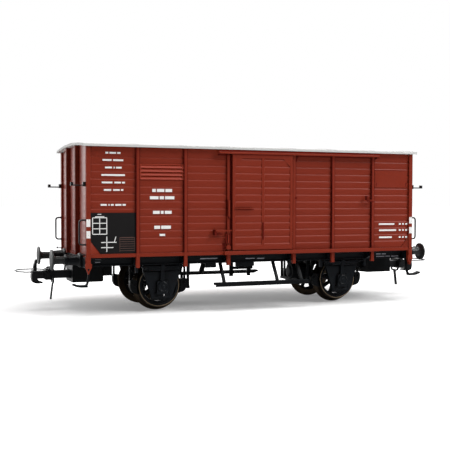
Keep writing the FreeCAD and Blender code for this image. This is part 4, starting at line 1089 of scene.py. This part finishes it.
class WAGON_OT_underframe(bpy.types.Operator):
    """Chassis floor, sole bars, headstocks, bearers and brackets, with their rivets"""
    bl_idname = "wagon.underframe"
    bl_label = "Underframe"

    def execute(self, context):
        black, rivet = underframe_plastic(), sizes()["rivet"]
        make("sole_channels", both(sole_bar()), WAGON, black, ["sole_bars"])
        for node in ("chassis_floor", "headstocks", "cross_bearers", "post_brackets"):
            softened(node, WAGON, black, sizes()["soft_edge"])
        web = cad("sole_bars")[0][1] + SOLE_WEB
        heads = [rivets([(pair.mean(0)[0] + d, web, z) for d in (-0.8, 0.8) for z in (12.6, 13.4)],
                        (0, -1, 0), rivet) for pair in solids("post_brackets") if pair[0][1] < 0]
        stock = cad("headstocks")
        ends = [(stock[1][0], y, z) for y in (-14.6, -13.9, -4.4, -3.4, 3.4, 4.4, 13.9, 14.6)
                for z in (12.3, 13.8)]
        heads.append(rivets(ends, (1, 0, 0), rivet))
        make("frame_rivets", both(join(*heads)), WAGON, black)
        return {"FINISHED"}


# ---------------------------------------------------------------- suspension
GUARD_PLATE = 0.9        # thickness of an axle guard


def axle_guard(low, high):
    """Left axle guard: a plate whose half width grows from foot to shoulder, with two windows for the box."""
    x, half = (low[0] + high[0]) / 2, (high[0] - low[0]) / 2
    z = low[2] + np.array([0, 0.5, 1.65, 6.8, 6.84, high[2] - low[2]])
    outer = np.interp(z, (low[2], low[2] + 6.8), (2.6, half))
    columns = np.stack([-outer, -outer * 0 - 2.0, outer * 0 + 2.0, outer]) + x
    heights = np.broadcast_to(z, columns.shape)
    solid = np.ones((3, 5), bool)
    solid[1, 1] = False
    recess = np.where(heights > low[2] + 6.82, 0.35, 0)
    front = np.stack([columns, low[1] + recess, heights], -1)
    guard = plate(front, np.stack([columns, 0 * columns + high[1], heights], -1), solid)
    keeper = [block((x + a, low[1] + 0.12, low[2] + 0.45), (x + b, high[1] - 0.1, low[2] + 1.2))
              for a, b in ((-2.05, 0.5), (0.85, 2.05))]
    spots = ((2.5, 2.4), (3.0, 4.4), (3.5, 6.6))
    places = [(x + q * d, low[1], low[2] + h) for q in (-1, 1) for d, h in spots]
    tie = fillet([(x - 2.5, low[2] - 0.5), (x + 2.5, low[2] - 0.5), (x + 2.6, low[2] + 0.2),
                  (x - 2.6, low[2] + 0.2)], 0.2, 3)
    keeper.append(prism(tie, high[1] - 0.4, high[1]))
    return guard, *keeper, rivets(places, (0, -1, 0), sizes()["rivet"])


def axle_box(low, high, guard_y):
    """Axle box: rounded body, stepped round cover with its rim, and the seat of the spring."""
    x, axle_z = (low[0] + high[0]) / 2, low[2] + 1.9
    half, cover = (high[0] - low[0]) / 2, 1.35
    body = rounded(x - half, x + half, low[2], axle_z + 1.4, 0.4, guard_y, low[1] + 0.3, steps=4)
    neck = prism(fillet([(x - 0.6, axle_z), (x + 0.6, axle_z), (x + 0.5, high[2]), (x - 0.5, high[2])], 0.1),
                 guard_y, low[1] + 0.4)
    lid = lathe(fillet([(0, 0), (cover, 0), (cover, 0.85), (cover - 0.2, 0.98), (cover - 0.3, 0.86),
                        (0.45, 0.86), (0.4, 0.95), (0, 0.95)], [0, 0, 0.08, 0.05, 0.05, 0.05, 0.05, 0], 3,
                       False), (x, guard_y, axle_z), (0, -1, 0), 32)
    bolts = rivets([(x + a * 1.08, low[1] + 0.3, axle_z + b) for a in (-1, 1) for b in (-1.5, 1.05)],
                   (0, -1, 0), 0.13)
    return [body, neck, lid, bolts]


def leaf_spring(low, high, leaves=4):
    """Leaves that get longer upwards: each is a strip along z = z0 + rise * (x / half)^2."""
    x, y = (low[0] + high[0]) / 2, low[1] * 0.5 + high[1] * 0.5
    step = (high[2] - low[2] - 0.2) / leaves
    pieces = []
    for k in range(leaves):
        half = 3.6 + (high[0] - low[0] - 7.2) / 2 * k / (leaves - 1)
        t = np.linspace(-1, 1, 13)
        path = np.stack([x + half * t, 0 * t + y, low[2] + step * (k + 0.45) + 0.03 * half * t ** 2 * 0.8],
                        -1)
        pieces.append(sweep(fillet(rectangle(0.95, step * 0.82), 0.05, 2), path))
    buckle = rounded(x - 0.55, x + 0.55, low[2], high[2], 0.08, low[1], high[1], steps=4)
    eyes = [lathe(fillet([(0, 0), (0.2, 0), (0.2, 1.0), (0, 1.0)], 0.04, closed=False),
                  (x + m * (half - 0.15), y - 0.5, low[2] + step * 3.8), (0, 1, 0), 12) for m in (-1, 1)]
    return [buckle, *pieces, *eyes]


class WAGON_OT_suspension(bpy.types.Operator):
    """Axle guards, axle boxes, leaf springs and shackles"""
    bl_idname = "wagon.suspension"
    bl_label = "Suspension"

    def execute(self, context):
        black = underframe_plastic()
        for end in ("front", "rear"):
            guard, box = cad("axle_guards_" + end), cad("axle_boxes_" + end)
            spring = cad("leaf_springs_" + end)
            guard_y = guard[0][1]
            guard[1][1], spring[1][1] = guard_y + GUARD_PLATE, guard_y
            left = axle_guard(*guard), axle_box(*box, guard_y), leaf_spring(*spring)
            guards, boxes, springs = ([mirrored(shape, side) for side in (-1, 1) for shape in kind]
                                      for kind in left)
            make("guard_plates_" + end, join(*guards), WAGON, black,
                 ["axle_guards_" + end], sizes()["soft_edge"])
            make("axle_box_covers_" + end, join(*boxes), WAGON, black, ["axle_boxes_" + end], 0.03)
            make("springs_" + end, join(*springs), WAGON, black, ["leaf_springs_" + end], 0.02)
        softened("spring_shackles", WAGON, black, sizes()["soft_edge"])
        return {"FINISHED"}


# ---------------------------------------------------------------- wheelsets
TREAD_R, FLANGE_R, TYRE_INNER_R, HUB_R, SPOKES = 5.55, 6.45, 4.75, 1.7, 9
TYRE_W, WHEEL_STEPS = 2.8, 96


def tyre(x, z, back, side):
    """Tyre turned about the axle: bore, rounded flange, coned tread and a bright chamfer."""
    profile = [(TYRE_INNER_R, 0), (FLANGE_R - 0.2, 0), (FLANGE_R, 0.1), (FLANGE_R, 0.2),
               (TREAD_R + 0.05, 0.95), (TREAD_R - 0.18, 2.6), (TREAD_R - 0.22, TYRE_W),
               (TREAD_R - 0.34, TYRE_W), (TREAD_R - 0.42, 2.72), (TYRE_INNER_R, 2.72)]
    line = fillet(profile, [0.03, 0.1, 0.08, 0.1, 0.3, 0.1, 0.03, 0.03, 0.03, 0.03], 4)
    return lathe([(r, side * (back + d)) for r, d in line], (x, 0, z), (0, 1, 0), WHEEL_STEPS)


def wheel_centre(x, z, back, side):
    """Hub and rim turned about the axle, and spokes of oval section that flare into both.

    A spoke's half width at share t of its length is w0 + (w1 - w0) t + f ((1 - t)^6 + t^6)."""
    bore, rim = 1.02, TYRE_INNER_R - 0.02
    hub = fillet([(bore, 0.45), (HUB_R - 0.1, 0.45), (HUB_R, 0.7), (HUB_R - 0.15, 2.2), (1.35, 2.55),
                  (bore, 2.55)], 0.12, 3)
    ring = fillet([(rim, 0.5), (rim, 2.1), (rim - 0.45, 2.1), (rim - 0.62, 1.6), (rim - 0.62, 0.9),
                   (rim - 0.5, 0.5)], 0.12, 3)
    shapes = [lathe([(r, side * (back + d)) for r, d in line], (x, 0, z), (0, 1, 0), 64)
              for line in (hub, ring)]
    t = np.linspace(0, 1, 13)
    along = HUB_R - 0.35 + (rim - HUB_R - 0.1) * t
    half = 0.52 - 0.1 * t + 0.26 * ((1 - t) ** 6 + t ** 6)
    turn = np.arange(12) * math.pi / 6
    depth = side * (back + 1.3) + 0.75 * np.sin(turn)
    spoke = np.stack([half[:, None] * np.cos(turn), np.broadcast_to(depth, (13, 12)),
                      np.broadcast_to(along[:, None], (13, 12))], -1)
    body = grid(spoke, False, True, True)
    for k in range(SPOKES):
        points, faces = turned(body, 360 * k / SPOKES, "Y")
        shapes.append((points + (x, 0, z), faces))
    return shapes


def axle(x, z, tip):
    """Axle turned about Y: journals, shoulders and a waisted middle."""
    half = [(0, -tip), (0.5, -tip), (0.6, -tip + 0.1), (0.6, -11.25), (1.0, -11.1), (1.0, -7.0), (0.86, -6.2)]
    profile = fillet(half + [(r, -d) for r, d in half[::-1]],
                     [0, 0, 0, 0.05, 0.1, 0.5, 1.5, 1.5, 0.5, 0.1, 0.05, 0, 0, 0], 3, False)
    return lathe(profile, (x, 0, z), (0, 1, 0), 32)


class WAGON_OT_wheelsets(bpy.types.Operator):
    """Turned tyres and axles, and spoked wheel centres"""
    bl_idname = "wagon.wheelsets"
    bl_label = "Wheelsets"

    def execute(self, context):
        for end in ("front", "rear"):
            body, back = "wheelset_" + end, cad("tyres_" + end)[1][1] - TYRE_W
            x, z = wheel_middle(end)
            sides = (-1, 1)
            make("tyre_rings_" + end, join(*[tyre(x, z, back, s) for s in sides]), body, tyre_metal(end),
                 ["tyres_" + end])
            inner, outer = TYRE_INNER_R - 0.1, TREAD_R - 0.43
            ring = ((inner, 2.6), (outer, 2.6), (outer, 2.76), (inner, 2.76))
            faces = [lathe([(r, s * (back + d)) for r, d in ring], (x, 0, z), (0, 1, 0), WHEEL_STEPS)
                     for s in sides]
            edge = fillet([(TREAD_R - 0.4, 2.7), (TREAD_R - 0.2, 2.7), (TREAD_R - 0.2, 2.8),
                           (TREAD_R - 0.26, 2.84), (TREAD_R - 0.34, 2.84), (TREAD_R - 0.4, 2.8)], 0.02, 2)
            rims = [lathe([(r, s * (back + d)) for r, d in edge], (x, 0, z), (0, 1, 0), WHEEL_STEPS)
                    for s in sides]
            # The pale edge ring is bright metal and partly a painted highlight.
            make("worn_glint_edges_" + end, join(*rims), body, worn_metal_and_glint())
            centres = [shape for s in sides for shape in wheel_centre(x, z, back, s)]
            make("spoked_centres_" + end, join(*faces, *centres), body, wheel_plastic(),
                 ["wheel_centres_" + end])
            make("turned_axle_" + end, axle(x, z, cad("axle_" + end)[1][1]), body, axle_steel(),
                 ["axle_" + end])
        return {"FINISHED"}


# ---------------------------------------------------------------- brakes
SHOE_INNER, SHOE_OUTER = 8.25, 9.7     # faces of a brake shoe, from the wagon's middle


def brake_shoe(x, z, y0, y1, m):
    """Shoe beside the wheel: rounded back, face hollowed along the tread, and its hanger with a pin."""
    angle = np.radians(np.linspace(14, -22, 9))
    gap = TREAD_R + 0.3
    back = fillet([(5.4, -2.1), (6.9, -1.75), (7.5, -0.6), (7.6, 0.4), (7.6, 1.2), (7.2, 1.75), (5.67, 1.41)],
                  [0, 0.9, 0.9, 0.9, 0.5, 0.5, 0], 4, False)
    face = np.stack([gap * np.cos(angle), gap * np.sin(angle)], -1)
    outline = np.concatenate([back, face]) * (m, 1) + (x, z)
    shoe = prism(outline, y0, y1)
    top, side = cad("brake_shoes_front")[1][2], math.copysign(0.3, y1 - y0)
    hanger_x = x + m * 7.25
    hanger = sweep(fillet(rectangle(0.6, 0.5), 0.08, 2),
                   [(hanger_x, y0 + side, z), (hanger_x, y0 + side, top)], (1, 0, 0))
    pin = lathe(fillet([(0, 0), (0.32, 0), (0.32, 0.3), (0.2, 0.38), (0, 0.38)], [0, 0, 0.1, 0.1, 0], 3,
                       False), (x + m * 6.9, y1, z + 0.6), (0, math.copysign(1, y1), 0), 14)
    return [shoe, hanger, pin]


def brake_cylinder():
    """Cylinder turned about X: domed cover, end flanges and a smooth barrel, on two feet."""
    low, high = cad("brake_cylinder")
    y, r = (low[1] + high[1]) / 2, (high[1] - low[1]) / 2
    z = low[2] + r
    run = high[0] - low[0]
    profile = fillet([(0, 0), (1.2, 0.05), (1.8, 0.45), (r, 0.5), (r, 0.95), (r - 0.22, 1.0),
                      (r - 0.22, run - 0.8), (r, run - 0.75), (r, run - 0.3), (r - 0.5, run), (0, run)],
                     0.1, 3, False)
    barrel = lathe(profile, (low[0], y, z), (1, 0, 0), 40)
    feet = [rounded(x, x + 0.7, z, high[2], 0.1, y - 0.8, y + 0.8, steps=4)
            for x in (low[0] + 0.9, high[0] - 1.1)]
    angle = np.arange(6) * math.pi / 3
    bolts = rivets(np.stack([0 * angle + low[0] + 0.52, y + 2.02 * np.cos(angle), z + 2.02 * np.sin(angle)],
                            -1), (-1, 0, 0), 0.13)
    return join(barrel, *feet, bolts)


class WAGON_OT_brakes(bpy.types.Operator):
    """Brake shoes, rigging and cylinder"""
    bl_idname = "wagon.brakes"
    bl_label = "Brakes"

    def execute(self, context):
        black = underframe_plastic()
        x, z = wheel_middle("front")
        shoes = [shape for s in (-1, 1) for m in (-1, 1)
                 for shape in brake_shoe(x, z, s * SHOE_INNER, s * SHOE_OUTER, m)]
        make("shoes_front", join(*shoes), WAGON, black, ["brake_shoes_front"])
        make("shoes_rear", turned(join(*shoes)), WAGON, black, ["brake_shoes_rear"])
        # The cylinder's darker plastic is painted shade: it lies deep in the wagon's shadow.
        make("cylinder", brake_cylinder(), WAGON, matt_black_and_shade(), ["brake_cylinder"])
        softened("brake_rigging", WAGON, matt_black_and_shade(), 0.15)
        softened("sole_bar_lugs", WAGON, black, 0.12)
        return {"FINISHED"}


# ---------------------------------------------------------------- ends
def buffer_pair(x, y, z, reach):
    """Buffer at the rear end, turned about X: sleeve with foot ring and collar, and a plunger whose
    head is slightly domed; between them the foot plate with four bolts."""
    low = cad("buffer_housings")[0][2]
    foot = rounded(y - 1.8, y + 1.8, low, low + 3.2, 0.35, x, x + 0.4, "x", 4)
    bolts = rivets([(x + 0.4, y + a * 1.4, z + b) for a in (-1, 1) for b in (-1.4, 1.1)], (1, 0, 0), 0.2)
    sleeve = lathe(fillet([(0, 0.1), (1.75, 0.1), (1.75, 0.5), (1.4, 0.75), (1.2, 3.3), (1.42, 3.4),
                           (1.42, 4.0), (1.0, 4.0), (0, 3.9)], [0, 0, 0.1, 0.15, 0.05, 0.08, 0.12, 0.05, 0],
                          3, False), (x, y, z), (1, 0, 0), 40)
    head_r = (cad("buffer_heads")[1][2] - cad("buffer_heads")[0][2]) / 2
    r = np.linspace(head_r * 0.93, 0, 7)
    dome = np.stack([r, reach - 0.2 * (r / head_r) ** 2], -1)
    rim = fillet([(0, 3.7), (0.95, 3.7), (0.95, reach - 1.2), (1.25, reach - 0.8), (head_r, reach - 0.62),
                  (head_r, reach - 0.22), tuple(dome[0])], [0, 0, 0.3, 0.3, 0.08, 0.08, 0], 4, False)
    head = lathe(np.concatenate([rim, dome[1:]]), (x, y, z), (1, 0, 0), 48)
    return [foot, bolts, sleeve], [head]


def draw_hook(x):
    """Draw hook cut from a thick plate, with its bolted face plate."""
    low = cad("headstocks")[0][2]
    outline = fillet([(x + 0.1, low + 0.75), (x + 1.6, low + 0.6), (x + 2.3, low + 0.75),
                      (x + 2.6, low + 1.3), (x + 2.5, low + 1.9), (x + 2.2, low + 1.95),
                      (x + 2.05, low + 1.4), (x + 1.6, low + 1.25), (x + 0.1, low + 1.4)], 0.35, 4)
    face = rounded(-1.5, 1.5, low + 0.2, low + 2.2, 0.3, x, x + 0.3, "x", 4)
    bolts = rivets([(x + 0.3, a * 1.1, low + b) for a in (-1, 1) for b in (0.6, 1.8)], (1, 0, 0), 0.16)
    return join(face, prism(outline, -0.35, 0.35), bolts)


class WAGON_OT_buffers(bpy.types.Operator):
    """Buffers and draw hooks"""
    bl_idname = "wagon.buffers"
    bl_label = "Buffers"

    def execute(self, context):
        black = underframe_plastic()
        x = cad("headstocks")[1][0]
        head_low, head_high = cad("buffer_heads")
        z, reach = (head_low[2] + head_high[2]) / 2, head_high[0] - x
        y = head_high[1] - (head_high[2] - head_low[2]) / 2 + 0.01
        pairs = [buffer_pair(x, s * y, z, reach) for s in (-1, 1)]
        make("buffer_sleeves", both(join(*pairs[0][0], *pairs[1][0])), WAGON, black,
             ["buffer_housings"])
        make("buffer_plungers", both(join(*pairs[0][1], *pairs[1][1])), WAGON, buffer_black(),
             ["buffer_heads"])
        make("hooks", both(draw_hook(x)), WAGON, black, ["draw_hooks"], 0.05)
        return {"FINISHED"}


def handrail(x, side):
    """Wire grab rail bent to a U, with a small washer at each foot."""
    low, high = cad("end_handrails")
    y, out, wire = side * (high[1] - 0.26), high[0] - 1.0, 0.22
    line = fillet([(x - 0.2, y, low[2] + 0.3), (out, y, low[2] + 0.3), (out, y, high[2] - 0.3),
                   (x - 0.2, y, high[2] - 0.3)], 0.75, 6, False)
    feet = [lathe(fillet([(0, 0), (0.34, 0), (0.3, 0.16), (0, 0.18)], 0.04, 2, False), (x, y, z), (1, 0, 0),
                  16) for z in (low[2] + 0.3, high[2] - 0.3)]
    return [sweep(circle(wire, 12), line, (0, 1, 0)), *feet]


def corner_step(side):
    """Shunter's step: a dished tread on a flat hanger with a rounded foot."""
    low, high = cad("corner_steps")
    y = side * (high[1] - 0.9)
    back, z = high[0] - 3.5, low[2] + 0.3
    tread = fillet([(back, y, z), (back + 2.1, y, z), (back + 3.45, y, z + 0.5)], 0.9, 4, False)
    arm_y = side * (high[1] - 1.2)
    arm = fillet([(back - 0.6, arm_y, high[2]), (back - 0.15, arm_y, z + 0.5),
                  (back + 0.4, arm_y, z + 0.05)], 0.8, 4, False)
    return [sweep(fillet(rectangle(1.75, 0.55), 0.16, 2), tread),
            sweep(fillet(rectangle(0.72, 0.5), 0.12, 2), arm, (1, 0, 1))]


class WAGON_OT_end_fittings(bpy.types.Operator):
    """Grab rails, lamp irons, rope hooks and corner steps"""
    bl_idname = "wagon.end_fittings"
    bl_label = "End fittings"

    def execute(self, context):
        x, wire = cad("corner_posts")[1][0], wire_black()
        rails = [shape for s in (-1, 1) for shape in handrail(x, s)]
        make("grab_rails", both(join(*rails)), WAGON, wire, ["end_handrails"])
        steps = [shape for s in (-1, 1) for shape in corner_step(s)]
        make("steps", both(join(*steps)), WAGON, matt_black_and_shade(), ["corner_steps"])
        for node in ("lamp_irons", "rope_hooks"):
            softened(node, WAGON, wire, sizes()["thin_edge"])
        return {"FINISHED"}


STRAP_X = (-10.4, 4.6, 11.6)


def footboard():
    """Left footboard: a board with a turned-down edge, grooved on top, on three bent straps."""
    (x0, y0, z0), (x1, _, top) = left_box("footboards")
    grooves = [(y0 + 0.35 + 0.33 * k + d, z0 + 1.0 - (0.06 if d == 0 else 0)) for k in range(5)
               for d in (-0.06, 0, 0.06)]
    section = [(y0 + 2.0, z0 + 0.4), (y0 + 0.35, z0 + 0.4), (y0 + 0.35, z0), (y0, z0), (y0, z0 + 1.0),
               *grooves, (y0 + 2.0, z0 + 1.0)]
    board = prism(section, x0, x1, "x")
    straps = []
    for x in STRAP_X:
        line = fillet([(x, y0 + 4.6, top), (x, y0 + 4.3, top - 0.6), (x, y0 + 1.9, z0 + 1.5),
                       (x, y0 + 1.75, z0 + 0.7)], 1.2, 5, False)
        straps.append(sweep(fillet(rectangle(0.95, 0.36), 0.08, 2), line, (0, 1, 0.4)))
    bolts = rivets([(x, y0, z0 + 0.65) for x in (x0 + 0.6, *STRAP_X)], (0, -1, 0), 0.13)
    return join(board, *straps, bolts)


class WAGON_OT_footboards(bpy.types.Operator):
    """Footboards under the doors"""
    bl_idname = "wagon.footboards"
    bl_label = "Footboards"

    def execute(self, context):
        make("foot_boards", both(footboard()), WAGON, matt_black_and_shade(), ["footboards"], 0.03)
        return {"FINISHED"}


# ---------------------------------------------------------------- couplers
EYE_Y = 1.95             # middle of the loop's eyes, from the wagon's middle


def coupler_shaft():
    """Rear coupler shaft: eye on its pin, bar, block, and the front plate with its hooked foot and tongue.

    Places along the wagon are taken from the pin of the loop."""
    low, high = cad("coupler_shaft_rear")
    pin_x, pin_z = loop_pivot()
    pivot, z0, z1 = low[0] + 1.25, low[2] + 1.2, low[2] + 3.2
    eye = lathe(fillet([(0.78, 0), (1.24, 0), (1.24, z1 - z0), (0.78, z1 - z0)], 0.08, 2), (pivot, 0, z0),
                (0, 0, 1), 24)
    bar = sweep(fillet(rectangle(2.2, z1 - z0), 0.25, 3),
                [(pivot + 1.0, 0, (z0 + z1) / 2), (pin_x + 3.5, 0, (z0 + z1) / 2)])
    housing = [(-0.7, z0 - 0.3), (1.4, z0 - 0.3), (1.4, z1 + 0.35), (0.8, z1 + 0.6), (-0.7, z1 + 0.6)]
    foot = low[2]
    bulge = [(1.9, foot + 0.05), (3.5, foot), (4.45, foot + 0.35), (4.7, foot + 1.4), (4.65, foot + 2.6),
             (4.2, foot + 3.9), (3.4, foot + 4.1), (3.4, foot + 1.6), (3.0, foot + 0.75), (1.9, foot + 0.4)]
    tongue = [(3.3, foot + 3.6), (4.25, foot + 3.6), (4.05, foot + 4.8), (3.65, high[2]), (3.2, high[2]),
              (3.3, foot + 4.6)]
    plates = [prism(fillet(np.add(outline, (pin_x, 0)), radius, steps), -half, half)
              for outline, radius, steps, half in ((housing, 0.25, 4, 1.5), (bulge, 0.3, 4, 1.25),
                                                   (tongue, 0.15, 3, 0.7))]
    pin = lathe(fillet([(0, -2.6), (0.35, -2.6), (0.35, 2.6), (0, 2.6)], [0, 0.08, 0.08, 0], 2, False),
                (pin_x, 0, pin_z), (0, 1, 0), 16)
    return [eye, bar, *plates, pin]


def coupler_loop():
    """Rear loop: a bow of flat wire from eye to eye, arms down to a cross piece, and the trip leg."""
    low, high = cad("coupler_loop_rear")
    x, z = loop_pivot()
    half, tip = high[1] - 0.25, high[0] - 0.2
    bow = fillet([(x + 0.6, -EYE_Y, z), (x + 3.2, -half, z), (tip - 1.7, -half, z), (tip, -half + 2.3, z),
                  (tip, half - 2.3, z), (tip - 1.7, half, z), (x + 3.2, half, z), (x + 0.6, EYE_Y, z)],
                 0.35, 3, False)
    wire = sweep(fillet(rectangle(0.42, 0.3), 0.08, 2), bow)
    pieces = [wire]
    for side in (-1, 1):
        ring = lathe(fillet([(0.43, -0.3), (0.8, -0.3), (0.8, 0.3), (0.43, 0.3)], 0.06, 2),
                     (x, side * EYE_Y, z), (0, 1, 0), 20)
        arm = fillet([(x - 0.25, side * EYE_Y, z - 0.65), (x - 0.55, side * EYE_Y, z - 1.8),
                      (x - 0.75, side * 1.5, z - 3.0), (x - 0.75, 0, z - 3.05)], 0.5, 3, False)
        pieces += [ring, sweep(fillet(rectangle(0.5, 0.42), 0.08, 2), arm, (1, 0, 0))]
    leg = [(x - 0.8, 0, z - 2.9), (x - 0.6, 0, z - 4.2), (x - 0.2, 0, low[2] + 0.02)]
    pieces.append(sweep(fillet(rectangle(1.0, 0.4), 0.1, 2), leg, (1, 0, 0)))
    return pieces


class WAGON_OT_couplers(bpy.types.Operator):
    """Coupler pockets, shafts and loops"""
    bl_idname = "wagon.couplers"
    bl_label = "Couplers"

    def execute(self, context):
        softened("coupler_boxes", WAGON, underframe_plastic(), sizes()["soft_edge"])
        shaft, loop = join(*coupler_shaft()), join(*coupler_loop())
        for end, turn in (("rear", 0), ("front", 180)):
            make("shaft_and_plate_" + end, turned(shaft, turn), "coupler_" + end, coupler_plastic(),
                 ["coupler_shaft_" + end])
            make("bow_and_leg_" + end, turned(loop, turn), "loop_" + end, coupler_steel(),
                 ["coupler_loop_" + end])
        return {"FINISHED"}


# ---------------------------------------------------------------- studio
CAMERA_PLACE = (-87.354, -210.035, 28.191)
CAMERA_YAW, CAMERA_PITCH, CAMERA_ROLL = 21.687, -1.726, 0.093


def studio_floor():
    """White sheet: pale to the camera, and it keeps the wagon's shadow.

    Away from the wagon it glows a little, so that it meets the white behind it without a line;
    in mirrored rays it is dark in front of the wagon, as the room is, and paler behind."""
    material = bpy.data.materials.new("studio_white")
    material.use_nodes = True
    tree = material.node_tree
    tree.nodes.clear()
    rays = add(tree, "LightPath").outputs
    seen = add(tree, "Math", {0: rays["Is Camera Ray"], 1: rays["Is Transmission Ray"]},
               operation="MAXIMUM").outputs[0]
    place = add(tree, "TexCoord").outputs["Object"]
    flat = add(tree, "Mapping", {"Vector": place, "Scale": (0.5, 1, 1)}).outputs[0]
    away = add(tree, "VectorMath", {0: flat}, operation="LENGTH").outputs["Value"]
    glow = add(tree, "MapRange", {"Value": away, "From Min": 15 * MM, "From Max": 60 * MM, "To Min": 0.2,
                                  "To Max": 1.0}, interpolation_type="SMOOTHSTEP").outputs["Result"]
    lift = add(tree, "Math", {0: seen, 1: glow}, operation="MULTIPLY").outputs[0]
    depth = add(tree, "SeparateXYZ", {"Vector": place}).outputs["Y"]
    mirror_tone = add(tree, "MapRange", {"Value": depth, "From Min": -25 * MM, "From Max": 5 * MM,
                                         "To Min": 0.12, "To Max": 0.7}).outputs["Result"]
    tone = add(tree, "Mix", {"Factor": rays["Is Glossy Ray"], "A": 0.8, "B": mirror_tone}).outputs["Result"]
    shader = add(tree, "BsdfDiffuse", {"Color": tone}).outputs[0]
    glow = add(tree, "Emission", {"Color": (1, 1, 1, 1), "Strength": lift}).outputs[0]
    lit = add(tree, "AddShader", {0: shader, 1: glow}).outputs[0]
    add(tree, "OutputMaterial", {"Surface": lit})
    return material


def studio_world(ambient):
    """White where it is seen or mirrored, and an even grey light otherwise."""
    world = bpy.data.worlds.new("studio")
    world.use_nodes = True
    tree = world.node_tree
    tree.nodes.clear()
    rays = add(tree, "LightPath").outputs
    direction = add(tree, "TexCoord").outputs["Generated"]
    back = add(tree, "SeparateXYZ", {"Vector": direction}).outputs["Y"]
    mirror_tone = add(tree, "MapRange", {"Value": back, "From Min": -0.3, "From Max": 0.4, "To Min": 0.05,
                                         "To Max": 1.9}).outputs["Result"]
    seen = add(tree, "Math", {0: rays["Is Camera Ray"], 1: rays["Is Transmission Ray"]},
               operation="MAXIMUM").outputs[0]
    strength = add(tree, "Mix", {"Factor": rays["Is Glossy Ray"], "A": ambient,
                                 "B": mirror_tone}).outputs["Result"]
    strength = add(tree, "Mix", {"Factor": seen, "A": strength, "B": 1.0}).outputs["Result"]
    light = add(tree, "Background", {"Color": (1, 1, 1, 1), "Strength": strength})
    add(tree, "OutputWorld", {"Surface": light.outputs[0]})
    return world


def lamp(name, place, target, size, strength):
    """Soft square lamp that looks at the target; strength is its radiance."""
    light = bpy.data.lights.new(name, "AREA")
    light.shape = "RECTANGLE"
    light.size, light.size_y = size[0] * MM, size[1] * MM
    light.energy = strength * math.pi * light.size * light.size_y
    lamp_object = bpy.data.objects.new(name, light)
    place, target = Vector(place) * MM, Vector(target) * MM
    lamp_object.location = place
    lamp_object.rotation_euler = (target - place).to_track_quat("-Z", "Y").to_euler()
    bpy.context.scene.collection.objects.link(lamp_object)


class WAGON_OT_stage(bpy.types.Operator):
    """Floor, lamps, world and camera"""
    bl_idname = "wagon.stage"
    bl_label = "Stage"

    def execute(self, context):
        scene, studio = context.scene, context.scene.wagon_studio
        scene.view_settings.view_transform = "Standard"
        ground = CAD_BOX[0][2] / MM
        reach = 3000.0
        corners = np.array([(-reach, -reach, ground), (reach, -reach, ground),
                            (reach, reach, ground), (-reach, reach, ground)])
        mesh = bpy.data.meshes.new("studio_floor")
        mesh.from_pydata((corners * MM).tolist(), [], [[0, 1, 2, 3]])
        mesh.materials.append(studio_floor())
        floor = bpy.data.objects.new("studio_floor", mesh)
        scene.collection.objects.link(floor)
        scene.world = studio_world(studio.ambient)
        lamp("overhead softbox", (20, -80, 420), (0, -10, 15), (300, 170), studio.overhead)
        lamp("key softbox", (400, -330, 430), (0, 0, 20), (300, 300), studio.key)
        lamp("rear softbox", (-480, 330, 220), (0, 0, 20), (380, 380), studio.rear)
        camera = bpy.data.cameras.new("camera")
        camera.lens, camera.sensor_width = studio.focal, 36.0
        camera.clip_start, camera.clip_end = 0.005, 20.0
        yaw, pitch, roll = (math.radians(a) for a in (CAMERA_YAW, CAMERA_PITCH, CAMERA_ROLL))
        turn = Matrix.Rotation(-yaw, 4, "Z") @ Matrix.Rotation(math.pi / 2 + pitch, 4, "X")
        eye = bpy.data.objects.new("camera", camera)
        lean = Matrix.Rotation(roll, 4, "Z")
        eye.matrix_world = Matrix.Translation(Vector(CAMERA_PLACE) * MM) @ turn @ lean
        scene.collection.objects.link(eye)
        scene.camera = eye
        return {"FINISHED"}


PIECES = (WAGON_OT_roof, WAGON_OT_walls, WAGON_OT_posts, WAGON_OT_vents, WAGON_OT_doors, WAGON_OT_door_gear,
          WAGON_OT_markings, WAGON_OT_interior, WAGON_OT_underframe, WAGON_OT_suspension, WAGON_OT_wheelsets,
          WAGON_OT_brakes, WAGON_OT_buffers, WAGON_OT_end_fittings, WAGON_OT_footboards, WAGON_OT_couplers,
          WAGON_OT_stage)


class WAGON_PT_panel(bpy.types.Panel):
    """Settings and pieces of the wagon"""
    bl_idname = "WAGON_PT_panel"
    bl_label = "Covered Goods Wagon"
    bl_space_type = "VIEW_3D"
    bl_region_type = "UI"
    bl_category = "Wagon"

    def draw(self, context):
        for name in SETTINGS:
            group = getattr(context.scene, name)
            for prop in group.__annotations__:
                self.layout.prop(group, prop)
        for operator in PIECES:
            self.layout.operator(operator.bl_idname)


SETTINGS = {"wagon_colours": WagonColours, "wagon_sizes": WagonSizes, "wagon_studio": WagonStudio}


def register():
    """Adds the settings, operators and panel."""
    for cls in (*SETTINGS.values(), *PIECES, WAGON_PT_panel):
        bpy.utils.register_class(cls)
    for name, group in SETTINGS.items():
        setattr(bpy.types.Scene, name, PointerProperty(type=group))


def unregister():
    """Takes them away again."""
    for name in SETTINGS:
        delattr(bpy.types.Scene, name)
    for cls in reversed((*SETTINGS.values(), *PIECES, WAGON_PT_panel)):
        bpy.utils.unregister_class(cls)


def main():
    """Builds the wagon and its stage."""
    register()
    for operator in PIECES:
        family, name = operator.bl_idname.split(".")
        getattr(getattr(bpy.ops, family), name)()


if __name__ == "__main__":
    main()
